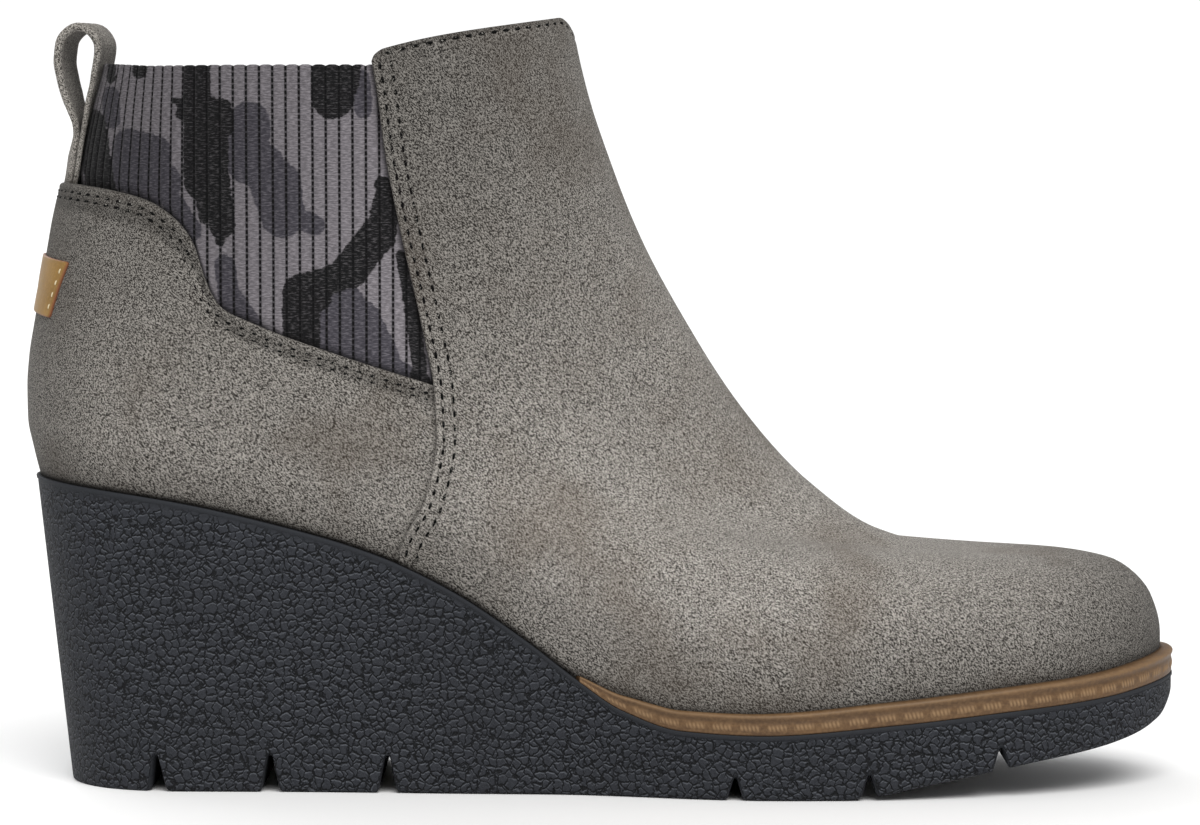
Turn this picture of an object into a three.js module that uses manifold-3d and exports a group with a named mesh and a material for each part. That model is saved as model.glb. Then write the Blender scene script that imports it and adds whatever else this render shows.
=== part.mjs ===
// Wedge ankle boot, right shoe. Units are mm, +Z is up, the toe points along +X, the lateral side faces -Y.
import * as THREE from 'three';
import Module from 'manifold-3d';

const wasm = await Module();
wasm.setup();

// Overall sizes
const soleLength = 252;
const ballWidth = 84;
const wedgeHeight = 67.6;
const bootHeight = 167.9;
const goreTopHeight = 157.5;

// Wall, steps and clearances
const vampWall = 2.6;
const lapStep = 0.9;
const goreThickness = 1.5;
const goreRecess = 1.2;
const heelPadding = 3.8;
const fitGap = 0.3;
const soleLipBack = 1.1;
const soleLipToe = 2.6;
const weltInset = 0.4;
const underlap = 4;

// Sole draft, edge rounding and cuts
const backDraft = 0.112;
const sideDraft = 0.05;
const edgeRound = 1.6;
const heelCut = { height: 8, top: 1.2, base: 3.8 };
const toeCut = { height: 4.8, top: 0.8, base: 3 };
const cutRound = 0.8;

// Small pieces
const insoleThickness = 4;
const insoleGap = 0.4;
const tabWidth = 35;
const tabHeight = 13.4;
const tabThickness = 0.9;
const tabSeat = 0.5;
const strapWidth = 16;
const loopTurn = 0.09;
const loopReach = 1.37;

// Mesh fineness
const outerSteps = { around: 72, levels: 25 };
const innerSteps = { around: 56, levels: 17 };
const profileSteps = 36;

// Height of the sole's top: x is a share of the sole length, z a share of the wedge height.
const soleTop = [
  { x: 0, z: 1 },
  { x: 0.114, z: 0.946 },
  { x: 0.242, z: 0.839 },
  { x: 0.31, z: 0.758 },
  { x: 0.369, z: 0.652 },
  { x: 0.429, z: 0.503 },
  { x: 0.476, z: 0.37 },
  { x: 0.514, z: 0.278 },
  { x: 0.565, z: 0.219 },
  { x: 0.632, z: 0.209 },
  { x: 0.75, z: 0.243 },
  { x: 0.836, z: 0.274 },
  { x: 0.929, z: 0.304 },
  { x: 1, z: 0.347 },
];

// Height of the sole's underside: flat under the heel and ball, then the toe spring.
const soleUnder = [
  { x: 0, z: 0 },
  { x: 0.3, z: 0 },
  { x: 0.6, z: 0 },
  { x: 0.695, z: 0 },
  { x: 0.726, z: 0.01 },
  { x: 0.77, z: 0.042 },
  { x: 0.853, z: 0.1 },
  { x: 0.94, z: 0.155 },
  { x: 0.986, z: 0.213 },
  { x: 1, z: 0.275 },
];

// Height of the welt above the sole's top, from its point at the arch to the toe.
const weltRise = [
  { x: 0.462, z: 0 },
  { x: 0.5, z: 0.036 },
  { x: 0.55, z: 0.061 },
  { x: 0.65, z: 0.066 },
  { x: 0.85, z: 0.071 },
  { x: 1, z: 0.076 },
];

// Cuts across the sole's underside.
const cuts = [
  { x: 0.1135, size: heelCut },
  { x: 0.2111, size: heelCut },
  { x: 0.3123, size: heelCut },
  { x: 0.6099, size: toeCut },
  { x: 0.7238, size: toeCut },
  { x: 0.8369, size: toeCut },
];

// Rings of the upper from below the sole line to above the collar. backX and frontX are shares of the sole
// length. backUp and frontUp are shares of the way from the sole's top to the boot's height. follow is how much
// of the sole line's bend the ring keeps. side is how much of the foot's curve it keeps. heel and toe are the
// rounded ends as shares of the ring's length. w1 to w5 are half widths at five stations, shares of half the ball width.
const rings = [
  { backX: 0.0044, backUp: -0.04, frontX: 0.9885, frontUp: -0.03, follow: 1, side: 1, heel: 0.125, toe: 0.27,
    w1: 0.685, w2: 0.693, w3: 0.7, w4: 0.94, w5: 0.985 },
  { backX: -0.0052, backUp: 0.055, frontX: 0.9895, frontUp: 0.058, follow: 0.9, side: 1, heel: 0.13, toe: 0.275,
    w1: 0.735, w2: 0.742, w3: 0.73, w4: 0.965, w5: 1 },
  { backX: -0.0105, backUp: 0.125, frontX: 0.981, frontUp: 0.118, follow: 0.78, side: 1, heel: 0.137, toe: 0.29,
    w1: 0.758, w2: 0.768, w3: 0.785, w4: 0.965, w5: 0.97 },
  { backX: -0.011, backUp: 0.195, frontX: 0.945, frontUp: 0.1725, follow: 0.66, side: 0.95, heel: 0.145, toe: 0.315,
    w1: 0.758, w2: 0.78, w3: 0.805, w4: 0.91, w5: 0.875 },
  { backX: -0.009, backUp: 0.265, frontX: 0.886, frontUp: 0.187, follow: 0.53, side: 0.85, heel: 0.155, toe: 0.345,
    w1: 0.748, w2: 0.785, w3: 0.81, w4: 0.845, w5: 0.75 },
  { backX: -0.0045, backUp: 0.335, frontX: 0.815, frontUp: 0.187, follow: 0.4, side: 0.7, heel: 0.168, toe: 0.38,
    w1: 0.735, w2: 0.778, w3: 0.81, w4: 0.795, w5: 0.66 },
  { backX: 0.001, backUp: 0.41, frontX: 0.742, frontUp: 0.216, follow: 0.27, side: 0.5, heel: 0.185, toe: 0.41,
    w1: 0.722, w2: 0.766, w3: 0.797, w4: 0.76, w5: 0.62 },
  { backX: 0.0085, backUp: 0.485, frontX: 0.679, frontUp: 0.29, follow: 0.15, side: 0.35, heel: 0.21, toe: 0.425,
    w1: 0.71, w2: 0.752, w3: 0.785, w4: 0.74, w5: 0.62 },
  { backX: 0.0183, backUp: 0.56, frontX: 0.6175, frontUp: 0.41, follow: 0.06, side: 0.2, heel: 0.245, toe: 0.43,
    w1: 0.705, w2: 0.742, w3: 0.778, w4: 0.735, w5: 0.645 },
  { backX: 0.0322, backUp: 0.64, frontX: 0.571, frontUp: 0.533, follow: 0.01, side: 0.1, heel: 0.29, toe: 0.435,
    w1: 0.715, w2: 0.748, w3: 0.783, w4: 0.745, w5: 0.68 },
  { backX: 0.0377, backUp: 0.72, frontX: 0.5335, frontUp: 0.655, follow: 0, side: 0, heel: 0.34, toe: 0.44,
    w1: 0.735, w2: 0.765, w3: 0.795, w4: 0.765, w5: 0.715 },
  { backX: 0.0456, backUp: 0.81, frontX: 0.505, frontUp: 0.778, follow: 0, side: 0, heel: 0.39, toe: 0.45,
    w1: 0.755, w2: 0.785, w3: 0.808, w4: 0.785, w5: 0.745 },
  { backX: 0.0556, backUp: 0.905, frontX: 0.4831, frontUp: 0.892, follow: 0, side: 0, heel: 0.43, toe: 0.46,
    w1: 0.77, w2: 0.8, w3: 0.818, w4: 0.8, w5: 0.765 },
  { backX: 0.0615, backUp: 1.01, frontX: 0.465, frontUp: 1.04, follow: 0, side: 0, heel: 0.46, toe: 0.47,
    w1: 0.78, w2: 0.81, w3: 0.825, w4: 0.81, w5: 0.78 },
];
const stations = [0.1, 0.25, 0.45, 0.65, 0.85];

// Sideways run of the foot's centre line: s is a share of a ring's length, y a share of half the ball width.
const footCurve = [
  { s: 0, y: 0 },
  { s: 0.22, y: -0.01 },
  { s: 0.4, y: -0.055 },
  { s: 0.55, y: -0.06 },
  { s: 0.7, y: -0.015 },
  { s: 0.85, y: 0.055 },
  { s: 1, y: 0.09 },
];

// Seam lines seen from the side: x is a share of the sole length, up a share of the height above the wedge.
const vampEdge = [
  { x: 0.319, up: -0.3 },
  { x: 0.323, up: -0.15 },
  { x: 0.345, up: -0.035 },
  { x: 0.3555, up: 0.095 },
  { x: 0.3535, up: 0.2 },
  { x: 0.342, up: 0.35 },
  { x: 0.325, up: 0.54 },
  { x: 0.312, up: 0.71 },
  { x: 0.3055, up: 0.84 },
  { x: 0.301, up: 0.905 },
];
const counterEdge = [
  { x: -0.06, up: 0.64 },
  { x: 0.024, up: 0.638 },
  { x: 0.07, up: 0.632 },
  { x: 0.107, up: 0.607 },
  { x: 0.13, up: 0.555 },
  { x: 0.144, up: 0.46 },
  { x: 0.163, up: 0.383 },
  { x: 0.205, up: 0.335 },
  { x: 0.274, up: 0.274 },
  { x: 0.357, up: 0.208 },
];
const collarLine = [
  { x: -0.06, up: 0.897 },
  { x: 0.2995, up: 0.897 },
  { x: 0.3035, up: 0.917 },
  { x: 0.312, up: 0.931 },
  { x: 0.456, up: 0.998 },
  { x: 0.4645, up: 0.996 },
  { x: 0.4705, up: 0.982 },
  { x: 0.477, up: 0.94 },
  { x: 0.55, up: 0.9 },
];

// Padding of the counter toward its top edge at the back: level is a ring, pad a share of the full padding.
const heelPad = [
  { level: 6, pad: 0 },
  { level: 7, pad: 0.16 },
  { level: 8, pad: 0.45 },
  { level: 9, pad: 0.9 },
  { level: 10, pad: 1 },
];

// Side view of the pull loop in shares of its height: up is the height above the counter's edge, off the distance
// from the gore, behind it where negative.
const loopEdge = [
  { up: 0.008, off: -0.086 },
  { up: 0.203, off: -0.076 },
  { up: 0.296, off: -0.082 },
  { up: 0.392, off: -0.127 },
  { up: 0.499, off: -0.2 },
  { up: 0.623, off: -0.273 },
  { up: 0.763, off: -0.327 },
  { up: 0.873, off: -0.33 },
  { up: 0.944, off: -0.301 },
  { up: 0.983, off: -0.242 },
  { up: 1, off: -0.166 },
  { up: 0.98, off: -0.087 },
  { up: 0.935, off: -0.023 },
  { up: 0.873, off: 0.028 },
  { up: 0.814, off: 0.045 },
  { up: 0.766, off: 0.034 },
  { up: 0.746, off: -0.008 },
  { up: 0.546, off: -0.008 },
  { up: 0.203, off: -0.008 },
  { up: 0.008, off: -0.008 },
];
const loopHole = [
  { up: 0.479, off: -0.09 },
  { up: 0.546, off: -0.158 },
  { up: 0.639, off: -0.223 },
  { up: 0.794, off: -0.262 },
  { up: 0.887, off: -0.231 },
  { up: 0.918, off: -0.172 },
  { up: 0.907, off: -0.124 },
  { up: 0.862, off: -0.076 },
  { up: 0.78, off: -0.056 },
  { up: 0.67, off: -0.062 },
  { up: 0.577, off: -0.068 },
  { up: 0.515, off: -0.076 },
];

// Smooth curve through rows of a table, with end rows held beyond the ends.
function through(xs, ys, x) {
  const last = xs.length - 1;
  if (x <= xs[0]) return ys[0];
  if (x >= xs[last]) return ys[last];
  let i = 0;
  while (x > xs[i + 1]) i += 1;
  const rise = (j) => (ys[j + 1] - ys[j]) / (xs[j + 1] - xs[j]);
  const slope = (j) => {
    if (j === 0) return rise(0);
    if (j === last) return rise(last - 1);
    const before = rise(j - 1);
    const after = rise(j);
    return before * after <= 0 ? 0 : (2 * before * after) / (before + after);
  };
  const h = xs[i + 1] - xs[i];
  const t = (x - xs[i]) / h;
  const a = ys[i] * (1 + 2 * t) * (1 - t) ** 2 + ys[i + 1] * t * t * (3 - 2 * t);
  return a + h * t * (1 - t) * (slope(i) * (1 - t) - slope(i + 1) * t);
}

const column = (rows, name) => rows.map((row) => row[name]);
const tableAt = (rows, key, name, x) => through(column(rows, key), column(rows, name), x);
const topHeight = (x) => wedgeHeight * tableAt(soleTop, 'x', 'z', x / soleLength);
const underHeight = (x) => wedgeHeight * tableAt(soleUnder, 'x', 'z', x / soleLength);
const weltHeight = (x) => topHeight(x) + wedgeHeight * tableAt(weltRise, 'x', 'z', x / soleLength);
const upHeight = (up) => wedgeHeight + up * (bootHeight - wedgeHeight);

// Value of a ring column between rings.
const ringAt = (name, level) => {
  const index = rings.map((row, i) => i);
  return through(index, column(rings, name), level);
};

// Rounded ends: zero at both ends of a ring, one between the end roundings.
function endRound(s, heel, toe) {
  const back = Math.min(1, s / heel);
  const front = Math.min(1, (1 - s) / toe);
  return Math.sqrt(Math.max(0, 1 - (1 - back) ** 2.15)) * Math.sqrt(Math.max(0, 1 - (1 - front) ** 2.1));
}

// One ring's own numbers, worked out once for its level.
function ringRow(level) {
  const get = (name) => ringAt(name, level);
  const backTop = topHeight(0);
  const frontTop = topHeight(soleLength);
  return {
    backX: get('backX') * soleLength,
    frontX: get('frontX') * soleLength,
    backZ: backTop + get('backUp') * (bootHeight - backTop),
    frontZ: frontTop + get('frontUp') * (bootHeight - frontTop),
    follow: get('follow'),
    side: get('side'),
    heel: get('heel'),
    toe: get('toe'),
    widths: ['w1', 'w2', 'w3', 'w4', 'w5'].map(get),
  };
}

const firstRing = ringRow(0);

// How far the lowest ring lies below the straight line between its ends, so that it follows the sole's top.
function soleBend(s) {
  const x = firstRing.backX + (firstRing.frontX - firstRing.backX) * s;
  return topHeight(x) - underlap - (firstRing.backZ + (firstRing.frontZ - firstRing.backZ) * s);
}

function halfWidth(row, s) {
  return (ballWidth / 2) * through(stations, row.widths, s) * endRound(s, row.heel, row.toe);
}

const centreLine = (s) => (ballWidth / 2) * tableAt(footCurve, 's', 'y', s);

// Point of the upper's outer form at an angle round the ring: 0 is the back, half a turn the front.
function formPoint(row, angle) {
  const s = (1 - Math.cos(angle)) / 2;
  const side = Math.sin(angle) >= 0 ? -1 : 1;
  return new THREE.Vector3(
    row.backX + (row.frontX - row.backX) * s,
    row.side * centreLine(s) + side * halfWidth(row, s),
    row.backZ + (row.frontZ - row.backZ) * s + row.follow * soleBend(s),
  );
}

// Point offset along the form's normal.
function offsetPoint(low, row, high, angle, offset) {
  const step = 0.012;
  const point = formPoint(row, angle);
  const along = formPoint(row, angle + step).sub(formPoint(row, angle - step));
  const up = formPoint(high, angle).sub(formPoint(low, angle));
  return point.add(along.cross(up).normalize().multiplyScalar(offset));
}

// Closed manifold from points and triangles, turned so that its faces look outward.
function solidFrom(points, triangles) {
  let volume = 0;
  for (const [a, b, c] of triangles) {
    volume += points[a].dot(points[b].clone().cross(points[c]));
  }
  const turned = volume < 0 ? triangles.map(([a, b, c]) => [a, c, b]) : triangles;
  return new wasm.Manifold(new wasm.Mesh({
    numProp: 3,
    vertProperties: new Float32Array(points.flatMap((p) => [p.x, p.y, p.z])),
    triVerts: new Uint32Array(turned.flat()),
  }));
}

// Closed body through rings of equal count. The end caps run across from side to side.
function lofted(loops) {
  const n = loops[0].length;
  const points = loops.flat();
  const triangles = [];
  for (let r = 0; r + 1 < loops.length; r += 1) {
    for (let i = 0; i < n; i += 1) {
      const a = r * n + i;
      const b = r * n + ((i + 1) % n);
      triangles.push([a, b, b + n], [a, b + n, a + n]);
    }
  }
  const cap = (start, flip) => {
    for (let i = 0; i < n / 2; i += 1) {
      const a = start + i;
      const b = start + i + 1;
      const c = start + ((n - i - 1) % n);
      const d = start + ((n - i) % n);
      const quad = [];
      if (b !== c) quad.push([a, c, b]);
      if (d !== a) quad.push([a, d, c]);
      for (const [p, q, t] of quad) triangles.push(flip ? [p, t, q] : [p, q, t]);
    }
  };
  cap(0, false);
  cap((loops.length - 1) * n, true);
  return solidFrom(points, triangles);
}

// Padding at the back of the counter, fading out round its sides.
function heelSwell(angle, level) {
  return heelPadding * tableAt(heelPad, 'level', 'pad', level) * Math.max(0, Math.cos(angle)) ** 6;
}

// The upper's form as a full body, with its surface moved along the normal.
function formBody(offset, steps, swell = () => 0) {
  const loops = [];
  const top = rings.length - 1;
  for (let j = 0; j <= steps.levels; j += 1) {
    const level = (top * j) / steps.levels;
    const low = ringRow(Math.max(0, level - 0.05));
    const high = ringRow(Math.min(top, level + 0.05));
    const row = ringRow(level);
    const loop = [];
    for (let i = 0; i < steps.around; i += 1) {
      const angle = (2 * Math.PI * i) / steps.around;
      loop.push(offsetPoint(low, row, high, angle, offset + swell(angle, level)));
    }
    loops.push(loop);
  }
  return lofted(loops);
}

// Prism through the boot from side to side, on an outline given as [x, z] pairs.
function sidePrism(outline, reach = ballWidth) {
  const flat = outline.map(([x, z]) => new THREE.Vector2(x, z));
  if (THREE.ShapeUtils.isClockWise(flat)) flat.reverse();
  const n = flat.length;
  const points = [-reach, reach].flatMap((y) => flat.map((p) => new THREE.Vector3(p.x, y, p.y)));
  const triangles = [];
  for (const [a, b, c] of THREE.ShapeUtils.triangulateShape(flat, [])) {
    triangles.push([a, b, c], [a + n, c + n, b + n]);
  }
  for (let i = 0; i < n; i += 1) {
    const j = (i + 1) % n;
    triangles.push([i, i + n, j + n], [i, j + n, j]);
  }
  return solidFrom(points, triangles);
}

// Points of a height function along the sole.
function heightLine(height, from, to, lift) {
  const line = [];
  for (let i = 0; i <= profileSteps; i += 1) {
    const x = from + ((to - from) * i) / profileSteps;
    line.push([x, height(x) + lift]);
  }
  return line;
}

// Smooth seam line from a table, as [x, z] pairs, moved sideways on its own normal.
function seamLine(rows, count, move = 0) {
  const index = rows.map((row, i) => i);
  const at = (t) => [
    soleLength * through(index, column(rows, 'x'), t),
    upHeight(through(index, column(rows, 'up'), t)),
  ];
  const line = [];
  for (let i = 0; i <= count; i += 1) {
    const t = ((rows.length - 1) * i) / count;
    const [x, z] = at(t);
    const before = at(Math.max(0, t - 0.05));
    const after = at(Math.min(rows.length - 1, t + 0.05));
    const run = Math.hypot(after[0] - before[0], after[1] - before[1]);
    line.push([x - (move * (after[1] - before[1])) / run, z + (move * (after[0] - before[0])) / run]);
  }
  return line;
}

const far = soleLength * 1.3;
const low = -soleLength;
const high = bootHeight * 1.5;
const behind = -soleLength * 0.3;

// Region under a line that runs from back to front.
const below = (line) => sidePrism([[behind, low], [behind, line[0][1]], ...line,
  [far, line[line.length - 1][1]], [far, low]]);
// Region over a line that runs from back to front.
const above = (line) => sidePrism([[behind, high], [behind, line[0][1]], ...line,
  [far, line[line.length - 1][1]], [far, high]]);
// Region in front of a line that runs upward.
const ahead = (line) => sidePrism([[far, low], [line[0][0], low], ...line, [line[line.length - 1][0], high],
  [far, high]]);

const soleTopLine = (lift) => heightLine(topHeight, 0, soleLength, lift);
const goreTop = upHeight((goreTopHeight - wedgeHeight) / (bootHeight - wedgeHeight));

// Heel tab and the shallow seat for it in the counter.
const tabMiddle = upHeight(0.415);
function tabBox(grow) {
  const half = tabWidth / 2 + grow;
  const rise = tabHeight / 2 + grow;
  const reach = soleLength * 0.12;
  const loop = (z) => [[behind, 0], [behind, -half], [reach, -half], [reach, 0], [reach, half], [behind, half]]
    .map(([x, y]) => new THREE.Vector3(x, y, z));
  return lofted([loop(tabMiddle - rise), loop(tabMiddle + rise)]);
}
const tabBase = -lapStep - tabSeat;
const tabSeatBody = formBody(tabThickness * 3, outerSteps, heelSwell)
  .subtract(formBody(tabBase, outerSteps, heelSwell))
  .intersect(tabBox(fitGap));
const heelTab = formBody(tabBase + fitGap + tabThickness, outerSteps, heelSwell)
  .subtract(formBody(tabBase + fitGap, outerSteps, heelSwell))
  .intersect(tabBox(0));

// Upper: the counter's form joined to the vamp's form ahead of the seam, hollowed, and cut to its edges.
const vampForm = formBody(0, outerSteps);
const counterForm = formBody(-lapStep, outerSteps, heelSwell);
const lining = formBody(-vampWall, innerSteps);
const vampSeam = ahead(seamLine(vampEdge, 24));
const gorePocket = above(seamLine(counterEdge, 30)).subtract(vampSeam);
const upper = counterForm
  .add(vampForm.intersect(vampSeam))
  .subtract(lining)
  .subtract(gorePocket)
  .subtract(tabSeatBody)
  .subtract(above(collarLine.map((row) => [row.x * soleLength, upHeight(row.up)])))
  .subtract(below(soleTopLine(fitGap)));

// Elastic gore: a thinner layer of the same form inside the pocket left in the upper.
const gore = formBody(-goreRecess, innerSteps)
  .subtract(formBody(-goreRecess - goreThickness, innerSteps))
  .intersect(above(seamLine(counterEdge, 30, fitGap)))
  .subtract(ahead(seamLine(vampEdge, 24, fitGap)))
  .intersect(sidePrism([[behind, low], [behind, goreTop], [far, goreTop], [far, low]]));

// Outline of the sole: the upper's lowest ring, lengthened and widened by the lip.
function soleLoop(depthAt, inset) {
  const n = outerSteps.around;
  const loop = [];
  for (let i = 0; i < n; i += 1) {
    const angle = (2 * Math.PI * i) / n;
    const s = (1 - Math.cos(angle)) / 2;
    const side = Math.sin(angle) >= 0 ? -1 : 1;
    const lip = soleLipBack + (soleLipToe - soleLipBack) * s;
    const full = soleLength * s;
    const depth = depthAt(full);
    const pull = (1 - Math.min(1, s / 0.3)) ** 2;
    const nearEnd = endRound(s, firstRing.heel, firstRing.toe);
    const x = full + pull * (backDraft * depth + inset) - inset * Math.max(0, (s - 0.93) / 0.07) ** 2;
    const half = halfWidth(firstRing, s) + (lip - sideDraft * depth - inset) * nearEnd;
    loop.push([x, centreLine(s) + side * half]);
  }
  return loop;
}

// Sole: loops from the underside to above the lip. It is trimmed to its top line, and the cuts are taken out of it.
function soleBody() {
  const rows = [
    { part: 0, lift: 0, inset: edgeRound },
    { part: 0, lift: edgeRound * 0.3, inset: edgeRound * 0.35 },
    { part: 0, lift: edgeRound, inset: 0 },
    { part: 0.35, lift: 0, inset: 0 },
    { part: 0.7, lift: 0, inset: 0 },
    { part: 1, lift: underlap, inset: 0 },
  ];
  return lofted(rows.map(({ part, lift, inset }) => {
    const depth = (x) => (topHeight(x) - underHeight(x)) * (1 - part);
    return soleLoop(depth, inset).map(([x, y]) => new THREE.Vector3(x, y, topHeight(x) - depth(x) + lift));
  }));
}

function cutBody({ x, size }) {
  const centre = x * soleLength;
  const floor = underHeight(centre);
  const half = size.base / 2;
  const peak = size.top / 2;
  const lead = (side) => [
    [centre + side * (half + cutRound * 2), floor - cutRound * 2],
    [centre + side * (half + cutRound * 0.9), floor],
    [centre + side * half, floor + cutRound],
    [centre + side * peak, floor + size.height - peak],
    [centre + side * peak * 0.5, floor + size.height],
  ];
  return sidePrism([...lead(-1), ...lead(1).reverse()]);
}

const soleBlank = soleBody().intersect(below(soleTopLine(0)));
const sole = cuts.reduce((body, cut) => body.subtract(cutBody(cut)), soleBlank);

// Body inside the sole's outline between two height lines.
function outlineBody(inset) {
  const at = (z) => soleLoop(() => 0, inset).map(([x, y]) => new THREE.Vector3(x, y, z));
  return lofted([at(-wedgeHeight), at(bootHeight)]);
}

// Welt: the strip outside the upper, on the sole's flange, from its point at the arch round the toe.
const weltStart = weltRise[1].x * soleLength * 0.955;
const clearOfUpper = formBody(fitGap, outerSteps);
const welt = outlineBody(weltInset)
  .intersect(below(heightLine(weltHeight, 0, soleLength, fitGap)))
  .intersect(above(soleTopLine(fitGap)))
  .intersect(sidePrism([[weltStart, low], [weltStart, high], [far, high], [far, low]]))
  .subtract(clearOfUpper);

// Insole: fills the bottom of the lining's form.
const insole = formBody(-vampWall - insoleGap, innerSteps)
  .intersect(above(soleTopLine(fitGap)))
  .intersect(below(soleTopLine(fitGap + insoleThickness)));

// Back line of the gore at a height.
const goreLevels = [8, 8.5, 9, 9.5, 10, 10.5, 11, 11.5, 12, 12.5, 13].map((level) => {
  const top = rings.length - 1;
  const point = offsetPoint(ringRow(level - 0.05), ringRow(level), ringRow(Math.min(top, level + 0.05)), 0, -goreRecess);
  return { x: point.x, z: point.z };
});
const goreBack = (z) => tableAt(goreLevels, 'z', 'x', z);

// Manifold body from an extruded shape, with its points merged on position.
function mergedBody(geometry, place) {
  const found = new Map();
  const points = [];
  const source = geometry.attributes.position;
  const index = [];
  for (let i = 0; i < source.count; i += 1) {
    const p = new THREE.Vector3().fromBufferAttribute(source, i);
    const key = [p.x, p.y, p.z].map((v) => v.toFixed(4)).join(' ');
    if (!found.has(key)) {
      found.set(key, points.length);
      points.push(place(p));
    }
    index.push(found.get(key));
  }
  const triangles = [];
  for (let i = 0; i < index.length; i += 3) triangles.push([index[i], index[i + 1], index[i + 2]]);
  return solidFrom(points, triangles);
}

// Pull loop: a folded strap sewn flat to the gore, seen from the side as a closed loop round the finger gap.
function loopBody() {
  const footZ = upHeight(0.638);
  const loopHeight = (goreTop - footZ) * loopReach;
  const side = (rows) => rows.map(({ up, off }) => {
    const z = footZ + up * loopHeight;
    return new THREE.Vector2(goreBack(z) + off * loopHeight, z);
  });
  const shape = new THREE.Shape(side(loopEdge).reverse());
  shape.holes.push(new THREE.Path(side(loopHole)));
  const strap = new THREE.ExtrudeGeometry(shape, { depth: strapWidth, steps: 4, bevelEnabled: false });
  return mergedBody(strap, (p) => {
    const y = p.z - strapWidth / 2;
    const free = Math.min(1, Math.max(0, ((p.y - footZ) / loopHeight - 0.17) * 2.5));
    const hug = ((1 - free) * y * y) / (strapWidth * 3);
    return new THREE.Vector3(p.x + hug - loopTurn * y * free, y, p.y);
  });
}

// Mesh with its own material from a manifold body.
function meshOf(name, body, colour, roughness) {
  const { vertProperties, triVerts, numProp } = body.getMesh();
  const geometry = new THREE.BufferGeometry();
  const positions = new Float32Array((vertProperties.length / numProp) * 3);
  for (let i = 0; i < positions.length / 3; i += 1) {
    for (let j = 0; j < 3; j += 1) positions[i * 3 + j] = vertProperties[i * numProp + j];
  }
  geometry.setAttribute('position', new THREE.BufferAttribute(positions, 3));
  geometry.setIndex(new THREE.BufferAttribute(new Uint32Array(triVerts), 1));
  geometry.computeVertexNormals();
  const mesh = new THREE.Mesh(geometry, new THREE.MeshStandardMaterial({ color: colour, roughness, metalness: 0 }));
  mesh.name = name;
  return mesh;
}

const meshes = [
  meshOf('upper', upper, 0x7d7874, 0.95),
  meshOf('elastic_gore', gore, 0x4b4a4c, 0.9),
  meshOf('pull_loop', loopBody(), 0x86827e, 0.95),
  meshOf('heel_tab', heelTab, 0x987d56, 0.7),
  meshOf('welt', welt, 0x765c44, 0.6),
  meshOf('wedge_sole', sole, 0x35363a, 0.85),
  meshOf('insole', insole, 0x2c2b2c, 0.9),
];

// Origin at the middle of the box's floor.
const boot = new THREE.Group();
boot.name = 'wedge_ankle_boot';
boot.add(...meshes);
const box = new THREE.Box3().setFromObject(boot);
for (const mesh of meshes) {
  mesh.geometry.translate(-(box.min.x + box.max.x) / 2, -(box.min.y + box.max.y) / 2, -box.min.z);
}

export default boot;
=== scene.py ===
import bpy
import bmesh
import math
import numpy as np
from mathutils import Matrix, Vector


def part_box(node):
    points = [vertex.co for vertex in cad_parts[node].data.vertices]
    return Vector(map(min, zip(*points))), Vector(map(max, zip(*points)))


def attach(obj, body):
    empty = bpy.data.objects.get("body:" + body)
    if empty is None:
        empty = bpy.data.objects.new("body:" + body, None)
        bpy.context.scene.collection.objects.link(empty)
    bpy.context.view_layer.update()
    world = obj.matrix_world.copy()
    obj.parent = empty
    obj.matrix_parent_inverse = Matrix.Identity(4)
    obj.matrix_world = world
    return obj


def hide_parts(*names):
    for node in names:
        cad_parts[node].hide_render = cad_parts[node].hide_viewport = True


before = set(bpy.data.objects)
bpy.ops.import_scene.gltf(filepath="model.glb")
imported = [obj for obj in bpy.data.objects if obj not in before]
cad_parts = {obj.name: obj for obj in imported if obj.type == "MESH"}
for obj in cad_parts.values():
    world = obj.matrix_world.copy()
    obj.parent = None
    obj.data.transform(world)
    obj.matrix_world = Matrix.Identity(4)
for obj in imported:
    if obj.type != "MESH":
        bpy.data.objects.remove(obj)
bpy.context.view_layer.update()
print("frame loaded:", ", ".join(sorted(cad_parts)))

# The boot's own numbers are in mm from the back end of the sole, with the toe along +X.
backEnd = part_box("wedge_sole")[0].x
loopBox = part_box("pull_loop")
middleY = (loopBox[0].y + loopBox[1].y) / 2


# Camera, floor and light: distances in metres.
view = {
    "distance": 1.1, "height": 0.1511, "aimHeight": 0.0808, "lens": 149.3,
    "floorSize": 120.0, "floorColour": (0.97, 0.97, 0.97), "softLight": 0.56, "whiteBehind": 1.05,
}
lamps = {  # direction it comes from, power, softness as an angle, colour
    "keySun": ((0.15, -0.6, 0.79), 2.45, 0.75, (1.0, 0.995, 0.985)),
    "rimSun": ((-0.45, 0.75, 0.5), 0.9, 0.9, (0.98, 0.99, 1.0)),
}


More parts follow.
